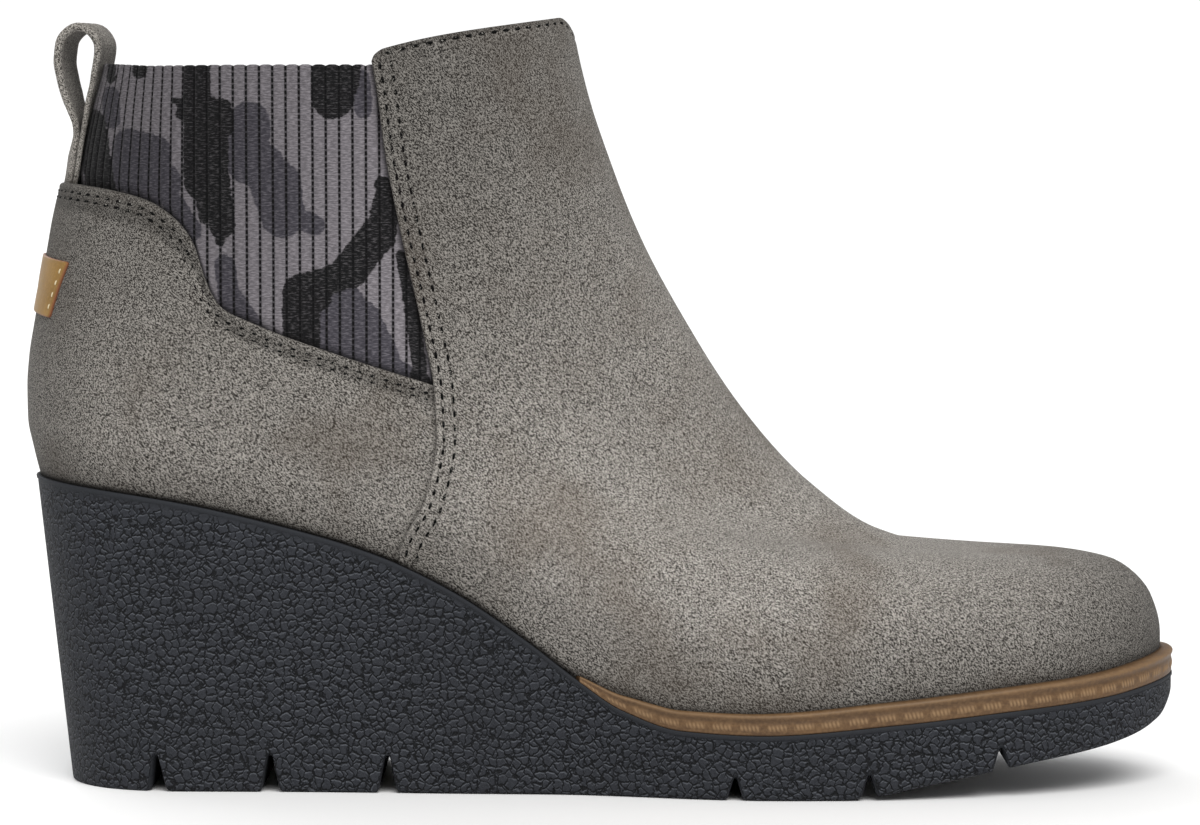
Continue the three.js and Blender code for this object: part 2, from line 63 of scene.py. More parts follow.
def makeView():
    data = bpy.data.cameras.new("photoCamera")
    data.lens = view["lens"]
    data.sensor_width = 36.0
    data.clip_start = 0.01
    camera = bpy.data.objects.new("photoCamera", data)
    camera.location = (0.0, -view["distance"], view["height"])
    aim = Vector((0.0, 0.0, view["aimHeight"])) - camera.location
    camera.rotation_euler = aim.to_track_quat("-Z", "Y").to_euler()
    bpy.context.scene.collection.objects.link(camera)
    bpy.context.scene.camera = camera
    for name, (place, power, softness, colour) in lamps.items():
        light = bpy.data.lights.new(name, "SUN")
        light.angle = softness
        light.energy = power
        light.color = colour
        lamp = bpy.data.objects.new(name, light)
        lamp.rotation_euler = (-Vector(place)).to_track_quat("-Z", "Y").to_euler()
        bpy.context.scene.collection.objects.link(lamp)
    world = bpy.data.worlds.new("softWorld")
    world.use_nodes = True
    tree = world.node_tree
    power = tree.nodes.new("ShaderNodeMapRange")  # white behind the boot, dimmer as the light that falls on it
    power.inputs["To Min"].default_value = view["softLight"]
    power.inputs["To Max"].default_value = view["whiteBehind"]
    tree.links.new(tree.nodes.new("ShaderNodeLightPath").outputs["Is Camera Ray"], power.inputs["Value"])
    tree.links.new(power.outputs["Result"], tree.nodes["Background"].inputs["Strength"])
    tree.nodes["Background"].inputs["Color"].default_value = (1, 1, 1, 1)
    bpy.context.scene.world = world
    bpy.context.scene.view_settings.view_transform = "Standard"
    half = view["floorSize"] / 2
    mesh = bpy.data.meshes.new("studioFloor")
    mesh.from_pydata([(-half, -half, 0), (half, -half, 0), (half, half, 0), (-half, half, 0)], [], [(0, 1, 2, 3)])
    floor = bpy.data.objects.new("studioFloor", mesh)
    bpy.context.scene.collection.objects.link(floor)
    paint = bpy.data.materials.new("floorPaint")
    paint.use_nodes = True
    shader = paint.node_tree.nodes["Principled BSDF"]
    shader.inputs["Base Color"].default_value = (*view["floorColour"], 1.0)
    shader.inputs["Roughness"].default_value = 0.55
    mesh.materials.append(paint)


makeView()
print("camera, floor and lamps ready")


# The last's form: places are shares of the sole's length, heights shares of the wedge or of the rise above it.
form = {
    "soleLength": 252.0, "ballWidth": 84.0, "wedgeHeight": 67.6, "bootHeight": 167.9, "goreTop": 157.5,
    "underlap": 4.0, "heelPadding": 3.8,
    "soleTop": [(0, 1), (0.114, 0.946), (0.242, 0.839), (0.31, 0.758), (0.369, 0.652), (0.429, 0.503),
                (0.476, 0.37), (0.514, 0.278), (0.565, 0.219), (0.632, 0.209), (0.75, 0.243), (0.836, 0.274),
                (0.929, 0.304), (1, 0.347)],
    "soleUnder": [(0, 0), (0.3, 0), (0.6, 0), (0.695, 0), (0.726, 0.01), (0.77, 0.042), (0.853, 0.1),
                  (0.94, 0.155), (0.986, 0.213), (1, 0.275)],
    "weltRise": [(0.462, 0), (0.5, 0.036), (0.55, 0.061), (0.65, 0.066), (0.85, 0.071), (1, 0.076)],
    # backX, backUp, frontX, frontUp, follow, side, heel, toe, five half widths
    "rings": [
        (0.0044, -0.04, 0.9885, -0.03, 1, 1, 0.125, 0.27, 0.685, 0.693, 0.7, 0.94, 0.985),
        (-0.0052, 0.055, 0.9895, 0.058, 0.9, 1, 0.13, 0.275, 0.735, 0.742, 0.73, 0.965, 1),
        (-0.0105, 0.125, 0.981, 0.118, 0.78, 1, 0.137, 0.29, 0.758, 0.768, 0.785, 0.965, 0.97),
        (-0.011, 0.195, 0.945, 0.1725, 0.66, 0.95, 0.145, 0.315, 0.758, 0.78, 0.805, 0.91, 0.875),
        (-0.009, 0.265, 0.886, 0.187, 0.53, 0.85, 0.155, 0.345, 0.748, 0.785, 0.81, 0.845, 0.75),
        (-0.0045, 0.335, 0.815, 0.187, 0.4, 0.7, 0.168, 0.38, 0.735, 0.778, 0.81, 0.795, 0.66),
        (0.001, 0.41, 0.742, 0.216, 0.27, 0.5, 0.185, 0.41, 0.722, 0.766, 0.797, 0.76, 0.62),
        (0.0085, 0.485, 0.679, 0.29, 0.15, 0.35, 0.21, 0.425, 0.71, 0.752, 0.785, 0.74, 0.62),
        (0.0183, 0.56, 0.6175, 0.41, 0.06, 0.2, 0.245, 0.43, 0.705, 0.742, 0.778, 0.735, 0.645),
        (0.0322, 0.64, 0.571, 0.533, 0.01, 0.1, 0.29, 0.435, 0.715, 0.748, 0.783, 0.745, 0.68),
        (0.0377, 0.72, 0.5335, 0.655, 0, 0, 0.34, 0.44, 0.735, 0.765, 0.795, 0.765, 0.715),
        (0.0456, 0.81, 0.505, 0.778, 0, 0, 0.39, 0.45, 0.755, 0.785, 0.808, 0.785, 0.745),
        (0.0556, 0.905, 0.4831, 0.892, 0, 0, 0.43, 0.46, 0.77, 0.8, 0.818, 0.8, 0.765),
        (0.0615, 1.01, 0.465, 1.04, 0, 0, 0.46, 0.47, 0.78, 0.81, 0.825, 0.81, 0.78),
    ],
    "stations": [0.1, 0.25, 0.45, 0.65, 0.85],
    "footCurve": [(0, 0), (0.22, -0.01), (0.4, -0.055), (0.55, -0.06), (0.7, -0.015), (0.85, 0.055), (1, 0.09)],
    "vampEdge": [(0.319, -0.3), (0.323, -0.15), (0.345, -0.035), (0.3555, 0.095), (0.3535, 0.2), (0.342, 0.35),
                 (0.325, 0.54), (0.312, 0.71), (0.3055, 0.84), (0.301, 0.905)],
    "counterEdge": [(-0.06, 0.646), (0.024, 0.643), (0.05, 0.6365), (0.076, 0.6255), (0.107, 0.6045),
                    (0.1367, 0.553), (0.149, 0.505), (0.1545, 0.46), (0.169, 0.383), (0.207, 0.334),
                    (0.274, 0.274), (0.357, 0.208)],
    "collarLine": [(-0.06, 0.897), (0.2995, 0.897), (0.3035, 0.917), (0.312, 0.931), (0.456, 0.998),
                   (0.4615, 1.0), (0.466, 0.993), (0.471, 0.974), (0.477, 0.935), (0.55, 0.9)],
    "heelPad": [(6, 0), (7, 0.16), (8, 0.45), (9, 0.9), (10, 1)],
}
length, ball, wedge, boot = form["soleLength"], form["ballWidth"], form["wedgeHeight"], form["bootHeight"]


# Cubic through rows: slopes are the harmonic mean of the two chords, the end rows are held past the ends.
def through(xs, ys, x):
    xs = np.asarray(xs, float)
    x = np.clip(np.asarray(x, float), xs[0], xs[-1])
    ys = np.asarray(ys, float)
    if ys.ndim == 1:
        ys = ys.reshape((-1,) + (1,) * x.ndim)
    ys = np.broadcast_to(ys, (len(xs),) + x.shape)
    h = np.diff(xs).reshape((-1,) + (1,) * x.ndim)
    rise = np.diff(ys, axis=0) / h
    before, after = rise[:-1], rise[1:]
    same = before * after > 0
    middle = np.where(same, 2 * before * after / np.where(same, before + after, 1.0), 0.0)
    slope = np.concatenate([rise[:1], middle, rise[-1:]])
    i = np.clip(np.searchsorted(xs, x, side="right") - 1, 0, len(xs) - 2)
    pick = lambda a, j: np.take_along_axis(a, j[None], 0)[0]
    run = xs[i + 1] - xs[i]
    t = (x - xs[i]) / run
    a = pick(ys, i) * (1 + 2 * t) * (1 - t) ** 2 + pick(ys, i + 1) * t * t * (3 - 2 * t)
    return a + run * t * (1 - t) * (pick(slope, i) * (1 - t) - pick(slope, i + 1) * t)


def tableAt(rows, x):
    xs, ys = zip(*rows)
    return through(xs, ys, x)


fineX = np.linspace(0, 1, 1601)
fineTop, fineUnder, fineWelt, fineCurve = (
    tableAt(form[key], fineX) for key in ("soleTop", "soleUnder", "weltRise", "footCurve"))
fineLevel = np.linspace(0, 13, 1301)
fineRings = [through(np.arange(14), column, fineLevel) for column in zip(*form["rings"])]

topHeight = lambda x: wedge * np.interp(np.asarray(x) / length, fineX, fineTop)
underHeight = lambda x: wedge * np.interp(np.asarray(x) / length, fineX, fineUnder)
weltHeight = lambda x: topHeight(x) + wedge * np.interp(np.asarray(x) / length, fineX, fineWelt)
centreLine = lambda s: ball / 2 * np.interp(s, fineX, fineCurve)
upHeight = lambda up: wedge + np.asarray(up) * (boot - wedge)
fold = lambda angle: np.arccos(np.cos(angle))  # the same angle on the lateral side
halfTurn = np.linspace(0, math.pi, 721)


# Zero at both ends of a ring and one between the end roundings.
def endRound(s, heel, toe):
    back = np.minimum(1, s / heel)
    front = np.minimum(1, (1 - s) / toe)
    return np.sqrt(np.maximum(0, 1 - (1 - back) ** 2.15)) * np.sqrt(np.maximum(0, 1 - (1 - front) ** 2.1))


def ringAt(level):
    return [np.interp(level, fineLevel, column) for column in fineRings]


# How far the lowest ring hangs below the straight line between its ends, so that it follows the sole's top.
def soleBend(s):
    first = [column[0] for column in fineRings]
    backZ = wedge + first[1] * (boot - wedge)
    frontZ = topHeight(length) + first[3] * (boot - topHeight(length))
    follow = topHeight((first[0] + (first[2] - first[0]) * s) * length) - form["underlap"]
    return follow - (backZ + (frontZ - backZ) * s)


# Point of the upper at an angle round a ring, 0 at the back and half a turn at the front:
# x and z run straight between the ring's ends, y is the foot's curve plus or minus the half width.
def formPoint(angle, level):
    angle, level = np.broadcast_arrays(np.asarray(angle, float), np.asarray(level, float))
    backX, backUp, frontX, frontUp, follow, side, heel, toe, *widths = ringAt(level)
    s = (1 - np.cos(angle)) / 2
    half = ball / 2 * through(form["stations"], np.stack(widths), s) * endRound(s, heel, toe)
    backZ = wedge + backUp * (boot - wedge)
    frontZ = topHeight(length) + frontUp * (boot - topHeight(length))
    x = (backX + (frontX - backX) * s) * length
    y = side * centreLine(s) + np.where(np.sin(angle) >= 0, -1, 1) * half
    return np.stack([x, y, backZ + (frontZ - backZ) * s + follow * soleBend(s)], -1)


# Outward normal of the form: the cross product of its two directions.
def formNormal(angle, level):
    along = formPoint(angle + 0.012, level) - formPoint(angle - 0.012, level)
    up = formPoint(angle, np.minimum(13, level + 0.05)) - formPoint(angle, np.maximum(0, level - 0.05))
    normal = np.cross(along, up)
    return normal / np.linalg.norm(normal, axis=-1, keepdims=True)


# Point of the form moved out along its normal.
def surface(angle, level, offset):
    angle, level, offset = np.broadcast_arrays(*(np.asarray(v, float) for v in (angle, level, offset)))
    return formPoint(angle, level) + formNormal(angle, level) * offset[..., None]


# Padding of the counter: its level's share of the full padding, times the cosine of the angle to the sixth.
def heelSwell(angle, level):
    return form["heelPadding"] * tableAt(form["heelPad"], level) * np.maximum(0, np.cos(angle)) ** 6


# Halving between two ends: each step keeps the half in which the test turns from false to true.
def halve(low, high, isOver, steps):
    for step in range(steps):
        middle = (low + high) / 2
        over = isOver(middle)
        high = np.where(over, middle, high)
        low = np.where(over, low, middle)
    return middle


# Angle and level of a point of the lateral side given by x and z, by halving the range of levels.
def onSide(x, z):
    x, z = np.broadcast_arrays(np.asarray(x, float), np.asarray(z, float))

    def angleAt(level):
        backX, backUp, frontX = ringAt(level)[:3]
        return np.arccos(1 - 2 * np.clip((x / length - backX) / (frontX - backX), 0, 1))

    isOver = lambda level: formPoint(angleAt(level), level)[..., 2] > z
    level = halve(np.zeros(x.shape), np.full(x.shape, 13.0), isOver, 26)
    return angleAt(level), level


# Level where a column of the surface meets a height line, by halving.
def levelOnLine(angle, heightOf, offsetOf=None):
    def isOver(level):
        point = formPoint(angle, level) if offsetOf is None else surface(angle, level, offsetOf(angle, level))
        return point[..., 2] > heightOf(point[..., 0])
    return halve(np.zeros(np.shape(angle)), np.full(np.shape(angle), 13.0), isOver, 24)


# Smooth seam line from a table as x and z in mm.
def seamLine(rows, count):
    xs, ups = zip(*rows)
    knots = np.arange(len(rows))
    t = np.linspace(0, len(rows) - 1, count)
    return np.stack([length * through(knots, xs, t), upHeight(through(knots, ups, t))], -1)


# Distance to a seam seen from the side, and how far along the seam the nearest point lies.
def seamDistance(x, z, line):
    a, b = line[:-1], line[1:]
    run = b - a
    size = np.linalg.norm(run, axis=1)
    start = np.concatenate([[0], np.cumsum(size)[:-1]])
    px, pz = np.ravel(x)[:, None], np.ravel(z)[:, None]
    t = np.clip(((px - a[:, 0]) * run[:, 0] + (pz - a[:, 1]) * run[:, 1]) / size ** 2, 0, 1)
    gap = np.hypot(px - a[:, 0] - t * run[:, 0], pz - a[:, 1] - t * run[:, 1])
    best = gap.argmin(1)
    row = np.arange(len(best))
    return gap[row, best].reshape(np.shape(x)), (start[best] + t[row, best] * size[best]).reshape(np.shape(x))


vampLine = seamLine(form["vampEdge"], 121)
counterLine = seamLine(form["counterEdge"], 141)
collarX, collarUp = (np.array(v, float) for v in zip(*form["collarLine"]))
collarFine = np.linspace(0.28, 0.55, 1400) * length
collarFineZ = through(collarX * length, upHeight(collarUp), collarFine)
collarHeight = lambda x: np.interp(x, collarFine, collarFineZ)
counterHeight = lambda x: np.interp(x, counterLine[:, 0], counterLine[:, 1])
vampEdgeX = lambda z: np.interp(z, vampLine[:, 1], vampLine[:, 0])


# Angle on the lateral side where rows of the surface pass the vamp's edge, or a distance ahead of it.
def angleAtVamp(levelAt, ahead, shape):
    def isOver(angle):
        point = formPoint(angle, levelAt(angle))
        return point[..., 0] > vampEdgeX(point[..., 2]) + ahead
    return halve(np.full(shape, 0.25), np.full(shape, 2.9), isOver, 30)


# Levels of a panel's bottom and top edges round half a turn, and the mm to a level at its top.
def panelEdges(topLine, offsetOf=None):
    bottom = levelOnLine(halfTurn, lambda x: topHeight(x) + 0.02, offsetOf)
    top = levelOnLine(halfTurn, topLine, offsetOf)
    step = np.linalg.norm(formPoint(halfTurn, top) - formPoint(halfTurn, top - 0.05), axis=-1) / 0.05
    return bottom, top, step


# Rows of a panel: shares of the way up to its top band, then mm down from its top edge.
def bandRows(rows, steps, band):
    share = np.concatenate([np.linspace(0, 1, rows)[:-1], np.ones(len(steps))])[:, None]
    drop = np.concatenate([np.full(rows - 1, band), steps[::-1]])[:, None]
    return share, drop


# Level on those rows: straight between the panel's edges up to the band, then down from the top in mm.
def panelLevel(angle, edges, share, drop, band):
    bottom, top, step = (np.interp(fold(angle), halfTurn, v) for v in edges)
    return bottom + (top - band / step - bottom) * share + np.where(share >= 1, (band - drop) / step, 0)


# Mesh object from points in mm and quads; the faces are turned outward by the sign of the volume.
def makePiece(name, points, quads, material, nodes, uv=None, marks=None, merge=False):
    points = np.asarray(points, float).reshape(-1, 3)
    quads = np.asarray(quads, np.int64)
    a, b, c, d = (points[quads[:, k]] for k in range(4))
    volume = (a * np.cross(b, c)).sum() + (a * np.cross(c, d)).sum()
    if volume < 0:
        quads = quads[:, ::-1]
    placed = points * 0.001 + np.array([backEnd, middleY, 0.0])
    mesh = bpy.data.meshes.new(name)
    mesh.vertices.add(len(placed))
    mesh.vertices.foreach_set("co", placed.astype(np.float32).ravel())
    mesh.loops.add(quads.size)
    mesh.loops.foreach_set("vertex_index", quads.astype(np.int32).ravel())
    mesh.polygons.add(len(quads))
    mesh.polygons.foreach_set("loop_start", np.arange(0, quads.size, 4, dtype=np.int32))
    mesh.update(calc_edges=True)
    mesh.polygons.foreach_set("use_smooth", np.ones(len(quads), bool))
    if uv is not None:
        layer = mesh.uv_layers.new(name="panelMap")
        layer.data.foreach_set("uv", np.asarray(uv, np.float32).reshape(-1, 2)[quads.ravel()].ravel())
    for mark, values in (marks or {}).items():
        layer = mesh.attributes.new(mark, "FLOAT", "POINT")
        layer.data.foreach_set("value", np.asarray(values, np.float32).ravel())
    if merge:
        sheet = bmesh.new()
        sheet.from_mesh(mesh)
        bmesh.ops.remove_doubles(sheet, verts=sheet.verts, dist=2e-6)
        sheet.to_mesh(mesh)
        sheet.free()
    mesh.materials.append(material)
    piece = bpy.data.objects.new(name, mesh)
    bpy.context.scene.collection.objects.link(piece)
    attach(piece, "root")
    if nodes:
        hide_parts(*nodes)
    print(name, len(mesh.polygons), "faces")
    return piece


# Quads of a grid of rows by columns, joined round where asked.
def gridQuads(rows, columns, roundRows=False, roundColumns=False, start=0):
    r = np.arange(rows if roundRows else rows - 1)[:, None]
    c = np.arange(columns if roundColumns else columns - 1)[None]
    at = lambda i, j: start + (i % rows) * columns + (j % columns)
    return np.stack([at(r, c), at(r, c + 1), at(r + 1, c + 1), at(r + 1, c)], -1).reshape(-1, 4)


# Closed shell: an outer grid, an inner grid of the same size, and strips along the four borders.
def shellQuads(rows, columns):
    size = rows * columns
    outer = gridQuads(rows, columns)
    inner = gridQuads(rows, columns, start=size)[:, ::-1]
    grid = np.arange(size).reshape(rows, columns)
    border = np.concatenate([grid[0, :], grid[1:, -1], grid[-1, -2::-1], grid[-2:0:-1, 0]])
    after = np.roll(border, -1)
    strips = np.stack([after, border, border + size, after + size], -1)
    return np.concatenate([outer, inner, strips])


# Closed wall: the form moved out to its outer face and in to its inner one, with the same marks on both.
def makeWall(name, angle, level, outer, inner, material, node, marks=None, uv=None, merge=False):
    twice = lambda values: np.stack([values, values])
    points = np.stack([surface(angle, level, outer), surface(angle, level, inner)])
    makePiece(name, points, shellQuads(*angle.shape), material, [node],
              uv=None if uv is None else twice(uv),
              marks={key: twice(values) for key, values in (marks or {}).items()}, merge=merge)


# Distances from an edge: a quarter round, then even steps to the end of the seam band.
def edgeSteps(radius, band, count):
    beta = np.linspace(0, math.pi / 2, 6)
    near = radius * (1 - np.cos(beta))
    return np.concatenate([near, np.linspace(radius, band, count + 1)[1:]])


# Drop of a rolled edge: a quarter circle of the radius, nothing past it.
def edgeDrop(distance, radius):
    inside = np.clip(1 - distance / radius, 0, 1)
    return radius * (1 - np.sqrt(1 - inside ** 2))


# Soft dents along stitch rows, pulled deeper once per stitch, with a low ridge between the rows.
def stitchDent(distance, along, rows, depth, pitch):
    pull = 0.8 + 0.2 * np.cos(2 * math.pi * along / pitch)
    dent = sum(np.exp(-((distance - row) / 0.55) ** 2) for row in rows)
    ridge = np.exp(-((distance - sum(rows) / len(rows)) / 0.75) ** 2) if len(rows) > 1 else 0
    return -depth * dent * pull + 0.35 * depth * ridge


# Shading node of a kind with its settings; inputs are sockets to link or plain values.
def addNode(tree, kind, inputs=None, **settings):
    node = tree.nodes.new(kind)
    for key, value in settings.items():
        setattr(node, key, value)
    for key, value in (inputs or {}).items():
        if isinstance(value, bpy.types.NodeSocket):
            tree.links.new(value, node.inputs[key])
        else:
            node.inputs[key].default_value = value
    return node


def newMaterial(name, roughness, specular):
    material = bpy.data.materials.new(name)
    material.use_nodes = True
    shader = material.node_tree.nodes["Principled BSDF"]
    shader.inputs["Roughness"].default_value = roughness
    shader.inputs["Specular IOR Level"].default_value = specular
    return material, material.node_tree, shader


# Linear colour from the eye's 0 to 255 values.
def tint(red, green, blue):
    return tuple(((v / 255 + 0.055) / 1.055) ** 2.4 if v > 10 else v / 3295 for v in (red, green, blue)) + (1.0,)


def objectPlace(tree, scale=(1, 1, 1), turn=(0, 0, 0)):
    place = addNode(tree, "ShaderNodeTexCoord").outputs["Object"]
    return addNode(tree, "ShaderNodeMapping", {"Vector": place, "Scale": scale, "Rotation": turn},
                   vector_type="TEXTURE").outputs[0]


def noise(tree, vector, scale, detail=2.0, rough=0.5):
    return addNode(tree, "ShaderNodeTexNoise", {"Vector": vector, "Scale": scale, "Detail": detail,
                                                "Roughness": rough}).outputs["Fac"]


# Noise with grains of one size in metres.
def grainNoise(tree, size, detail=2.0, rough=0.5):
    return noise(tree, objectPlace(tree, (size,) * 3), 1.0, detail, rough)


def spread(tree, value, low, high, toLow=0.0, toHigh=1.0, smooth=False):
    return addNode(tree, "ShaderNodeMapRange", {"Value": value, "From Min": low, "From Max": high, "To Min": toLow,
                                                "To Max": toHigh},
                   interpolation_type="SMOOTHSTEP" if smooth else "LINEAR").outputs["Result"]


def mixColour(tree, factor, first, second, blend="MIX"):
    node = addNode(tree, "ShaderNodeMix", data_type="RGBA", blend_type=blend)
    for index, value in ((0, factor), (6, first), (7, second)):
        if isinstance(value, bpy.types.NodeSocket):
            tree.links.new(value, node.inputs[index])
        else:
            node.inputs[index].default_value = value
    return node.outputs[2]


def maths(tree, kind, first, second=0.0):
    node = tree.nodes.new("ShaderNodeMath")
    node.operation = kind
    for index, value in ((0, first), (1, second)):
        if isinstance(value, bpy.types.NodeSocket):
            tree.links.new(value, node.inputs[index])
        else:
            node.inputs[index].default_value = value
    return node.outputs[0]


def mark(tree, name):
    return addNode(tree, "ShaderNodeAttribute", attribute_name=name).outputs["Fac"]


# Base colour scaled by the piece's tone mark.
def paintToned(tree, shader, colour):
    toned = addNode(tree, "ShaderNodeVectorMath", {0: colour, "Scale": mark(tree, "tone")}, operation="SCALE")
    tree.links.new(toned.outputs[0], shader.inputs["Base Color"])


def bumped(tree, shader, height, strength, distance):
    node = addNode(tree, "ShaderNodeBump", {"Height": height, "Strength": strength, "Distance": distance})
    tree.links.new(node.outputs[0], shader.inputs["Normal"])


suede = {
    # the last colour is the painted shade that the shade mark mixes in
    "dark": tint(44, 41, 38), "light": tint(184, 179, 172), "brown": tint(88, 76, 64), "shadeTint": tint(40, 35, 31),
    "napLength": 0.0005, "napWidth": 0.0002, "napTurn": 0.75, "speck": 0.00027, "blotch": 0.03, "cloud": 0.007,
    "sheen": 0.05, "bump": 0.00022,
    # heights in mm and the painted light and shade there
    "shaftTone": ([0, 40, 62, 80, 100, 120, 140, 170], [0.95, 0.99, 1.0, 0.88, 0.73, 0.61, 0.53, 0.47]),
    "footBase": ([0, 2, 5, 9, 15, 22], [0.47, 0.54, 0.64, 0.76, 0.91, 0.98]),
    "heelBase": ([0, 2, 5, 12, 25], [0.6, 0.68, 0.8, 0.95, 1.0]),
}


# Nap: noise stretched along one slanted direction, over soft blotches, with painted shade where the shade mark
# asks.
def suedeMaterial():
    material, tree, shader = newMaterial("greySuede", 0.93, 0.12)
    napSize = (suede["napLength"], suede["napWidth"], suede["napWidth"])
    nap = noise(tree, objectPlace(tree, napSize, (0, suede["napTurn"], 0)), 1.0, 0.0)
    speck = grainNoise(tree, suede["speck"], 0.0)
    blotch = grainNoise(tree, suede["blotch"], 3.0, 0.55)
    cloud = grainNoise(tree, suede["cloud"])
    fibre = maths(tree, "ADD", maths(tree, "MULTIPLY", nap, 0.65), maths(tree, "MULTIPLY", speck, 0.35))
    depth = spread(tree, mark(tree, "tone"), 0.55, 1.0, 1.15, 0.72)  # deeper contrast where the tone mark's painted shade is darker
    fibre = maths(tree, "ADD", maths(tree, "MULTIPLY", maths(tree, "SUBTRACT", fibre, 0.5), depth), 0.5)
    colour = mixColour(tree, spread(tree, fibre, 0.37, 0.645), suede["dark"], suede["light"])
    colour = mixColour(tree, spread(tree, blotch, 0.46, 0.7, 0.0, 0.34, True), colour, suede["brown"])
    colour = mixColour(tree, spread(tree, cloud, 0.35, 0.75, 0.0, 0.08), colour, suede["brown"])
    paintToned(tree, shader, mixColour(tree, mark(tree, "shade"), colour, suede["shadeTint"]))
    shader.inputs["Sheen Weight"].default_value = suede["sheen"]
    shader.inputs["Sheen Roughness"].default_value = 0.55
    shader.inputs["Sheen Tint"].default_value = (0.9, 0.88, 0.85, 1.0)
    bumped(tree, shader, fibre, 1.0, suede["bump"])
    return material


greySuede = suedeMaterial()


# Painted light and shade on the leather by place: paler down the shaft to the instep, darker again in a band above
# the sole, toward the toe's tip and round the heel's back.
def suedeLightAndShade(x, z, heelPart=False):
    above = z - weltHeight(x)
    down = np.interp(z, *suede["shaftTone"])
    wider = 1 + 1.1 * np.clip((x / length - 0.6) / 0.3, 0, 1) ** 1.5
    low = np.interp(above, *suede["heelBase"]) if heelPart else np.interp(above / wider, *suede["footBase"])
    toe = 1 - 0.45 * np.clip((x / length - 0.86) / 0.14, 0, 1) ** 1.2
    heel = 1 - 0.22 * np.clip((17 - x) / 13, 0, 1)
    return down * low * toe * (0.79 * heel if heelPart else 0.95)


# Vamp panel with the shaft's front: the large overlay from seam to seam round the toe.
vamp = {
    "rows": 84, "columns": 190, "thickness": 1.5, "edgeRadius": 0.5, "band": 6.6, "bandSteps": 21, "overlap": 0.82,
    "stitchRows": (1.6, 4.0), "stitchDepth": 0.2, "stitchPitch": 3.0, "collarRow": 1.2, "collarDent": 0.18,
    "waves": 0.16, "hollow": 0.28,
}
far = 99.0  # mm, a distance that no edge reaches
vampEdges = panelEdges(collarHeight)


# Grid of the vamp: columns close together along both seams, spread evenly between them.
def vampGrid():
    band = vamp["band"]
    steps = edgeSteps(vamp["edgeRadius"], band, vamp["bandSteps"])
    share, drop = bandRows(vamp["rows"], steps, band)
    levelAt = lambda angle: panelLevel(angle, vampEdges, share, drop, band)
    edge = angleAtVamp(levelAt, 0, share.shape)
    turn = formPoint(edge + 0.01, levelAt(edge + 0.01)) - formPoint(edge, levelAt(edge))
    size = np.linalg.norm(turn, axis=-1) / 0.01  # mm to a radian along each row
    near = edge + steps[None] / size
    inner = edge + band / size
    middle = inner + (2 * math.pi - 2 * inner) * np.linspace(0, 1, vamp["columns"])[None, 1:-1]
    angle = np.concatenate([near, middle, 2 * math.pi - near[:, ::-1]], 1)
    fromEdge = np.concatenate([np.broadcast_to(steps, near.shape), np.full(middle.shape, far),
                               np.broadcast_to(steps[::-1], near.shape)], 1)
    fromTop = np.broadcast_to(np.where(share >= 1, drop, far), angle.shape)
    return angle, levelAt(angle), fromEdge, fromTop


# Low waves of the soft leather: slow sines of the place, the first two multiplied and the others added.
def softWaves(x, y, z):
    wave = np.sin(x / 17 + z / 29) * np.sin(z / 13 - x / 41 + 0.6)
    return (wave + 0.6 * np.sin(x / 9.5 - z / 15 + y / 23) + 0.4 * np.sin(z / 7.1 + y / 11)) / 2


# Dark lines in the thread rows: a bell curve of the distance round each row.
def rowShade(distance, rows):
    return 0.16 * sum(np.exp(-((distance - row) / 0.45) ** 2) for row in rows)


# Vamp: the form moved out by waves and stitch dents, less a hollow behind the seam and the rolled edge;
# the inner face lies one thickness in, and closer where the panel laps over the counter.
def makeVamp():
    angle, level, fromEdge, fromTop = vampGrid()
    x, y, z = np.moveaxis(formPoint(angle, level), -1, 0)
    fromSeam, along = seamDistance(x, z, vampLine)
    fromSeam = np.where(fromEdge < far / 2, np.minimum(fromSeam, fromEdge * 1.02), fromSeam)
    calm = np.clip((np.minimum(fromSeam, fromTop) - 4) / 14, 0, 1) * np.clip((z - topHeight(x)) / 12, 0, 1)
    outer = vamp["waves"] * softWaves(x, y, z) * calm
    outer += stitchDent(fromSeam, along, vamp["stitchRows"], vamp["stitchDepth"], vamp["stitchPitch"])
    collar = stitchDent(fromTop, x, (vamp["collarRow"],), vamp["collarDent"], vamp["stitchPitch"])
    outer += collar * np.clip(fromSeam - 1, 0, 1)
    behind = np.clip((fromSeam - 5.4) / 1.6, 0, 1) ** 2 * (1 - np.clip((fromSeam - 7) / 30, 0, 1))
    roll = edgeDrop(np.minimum(np.minimum(fromEdge, fromSeam), fromTop), vamp["edgeRadius"])
    outer -= vamp["hollow"] * behind + roll
    inner = roll - vamp["thickness"]
    inner = np.where(fromSeam < 9, np.maximum(inner, -vamp["overlap"]), inner)
    # Painted shade: darker just above the welt, a shadow line along the seam's edge, in the stitch rows and along
    # the collar's top edge; the tone mark adds the painted light and shade by place, darker near the seam, and is
    # paler on the shin's front above 80 mm.
    base = np.clip(1 - (z - weltHeight(x) - 0.3) / 1.7, 0, 1) ** 1.5 * 0.8
    line = 0.35 * np.clip(1 - fromSeam / 0.5, 0, 1) + rowShade(fromSeam, vamp["stitchRows"])
    shade = np.clip(np.maximum(base, line) + 0.3 * np.clip(1 - fromTop / 1.2, 0, 1), 0, 0.9)
    tone = suedeLightAndShade(x, z) * np.interp(fromSeam, [0, 8, 26], [0.93, 0.9, 1.0])
    shin = np.clip((fold(angle) - 2.1) / 0.8, 0, 1) * np.clip((z - 80) / 25, 0, 1)
    tone = tone * (1 + 0.24 * shin)
    makeWall("vampPanel", angle, level, outer, inner, greySuede, "upper",
             {"shade": shade, "tone": tone})


makeVamp()


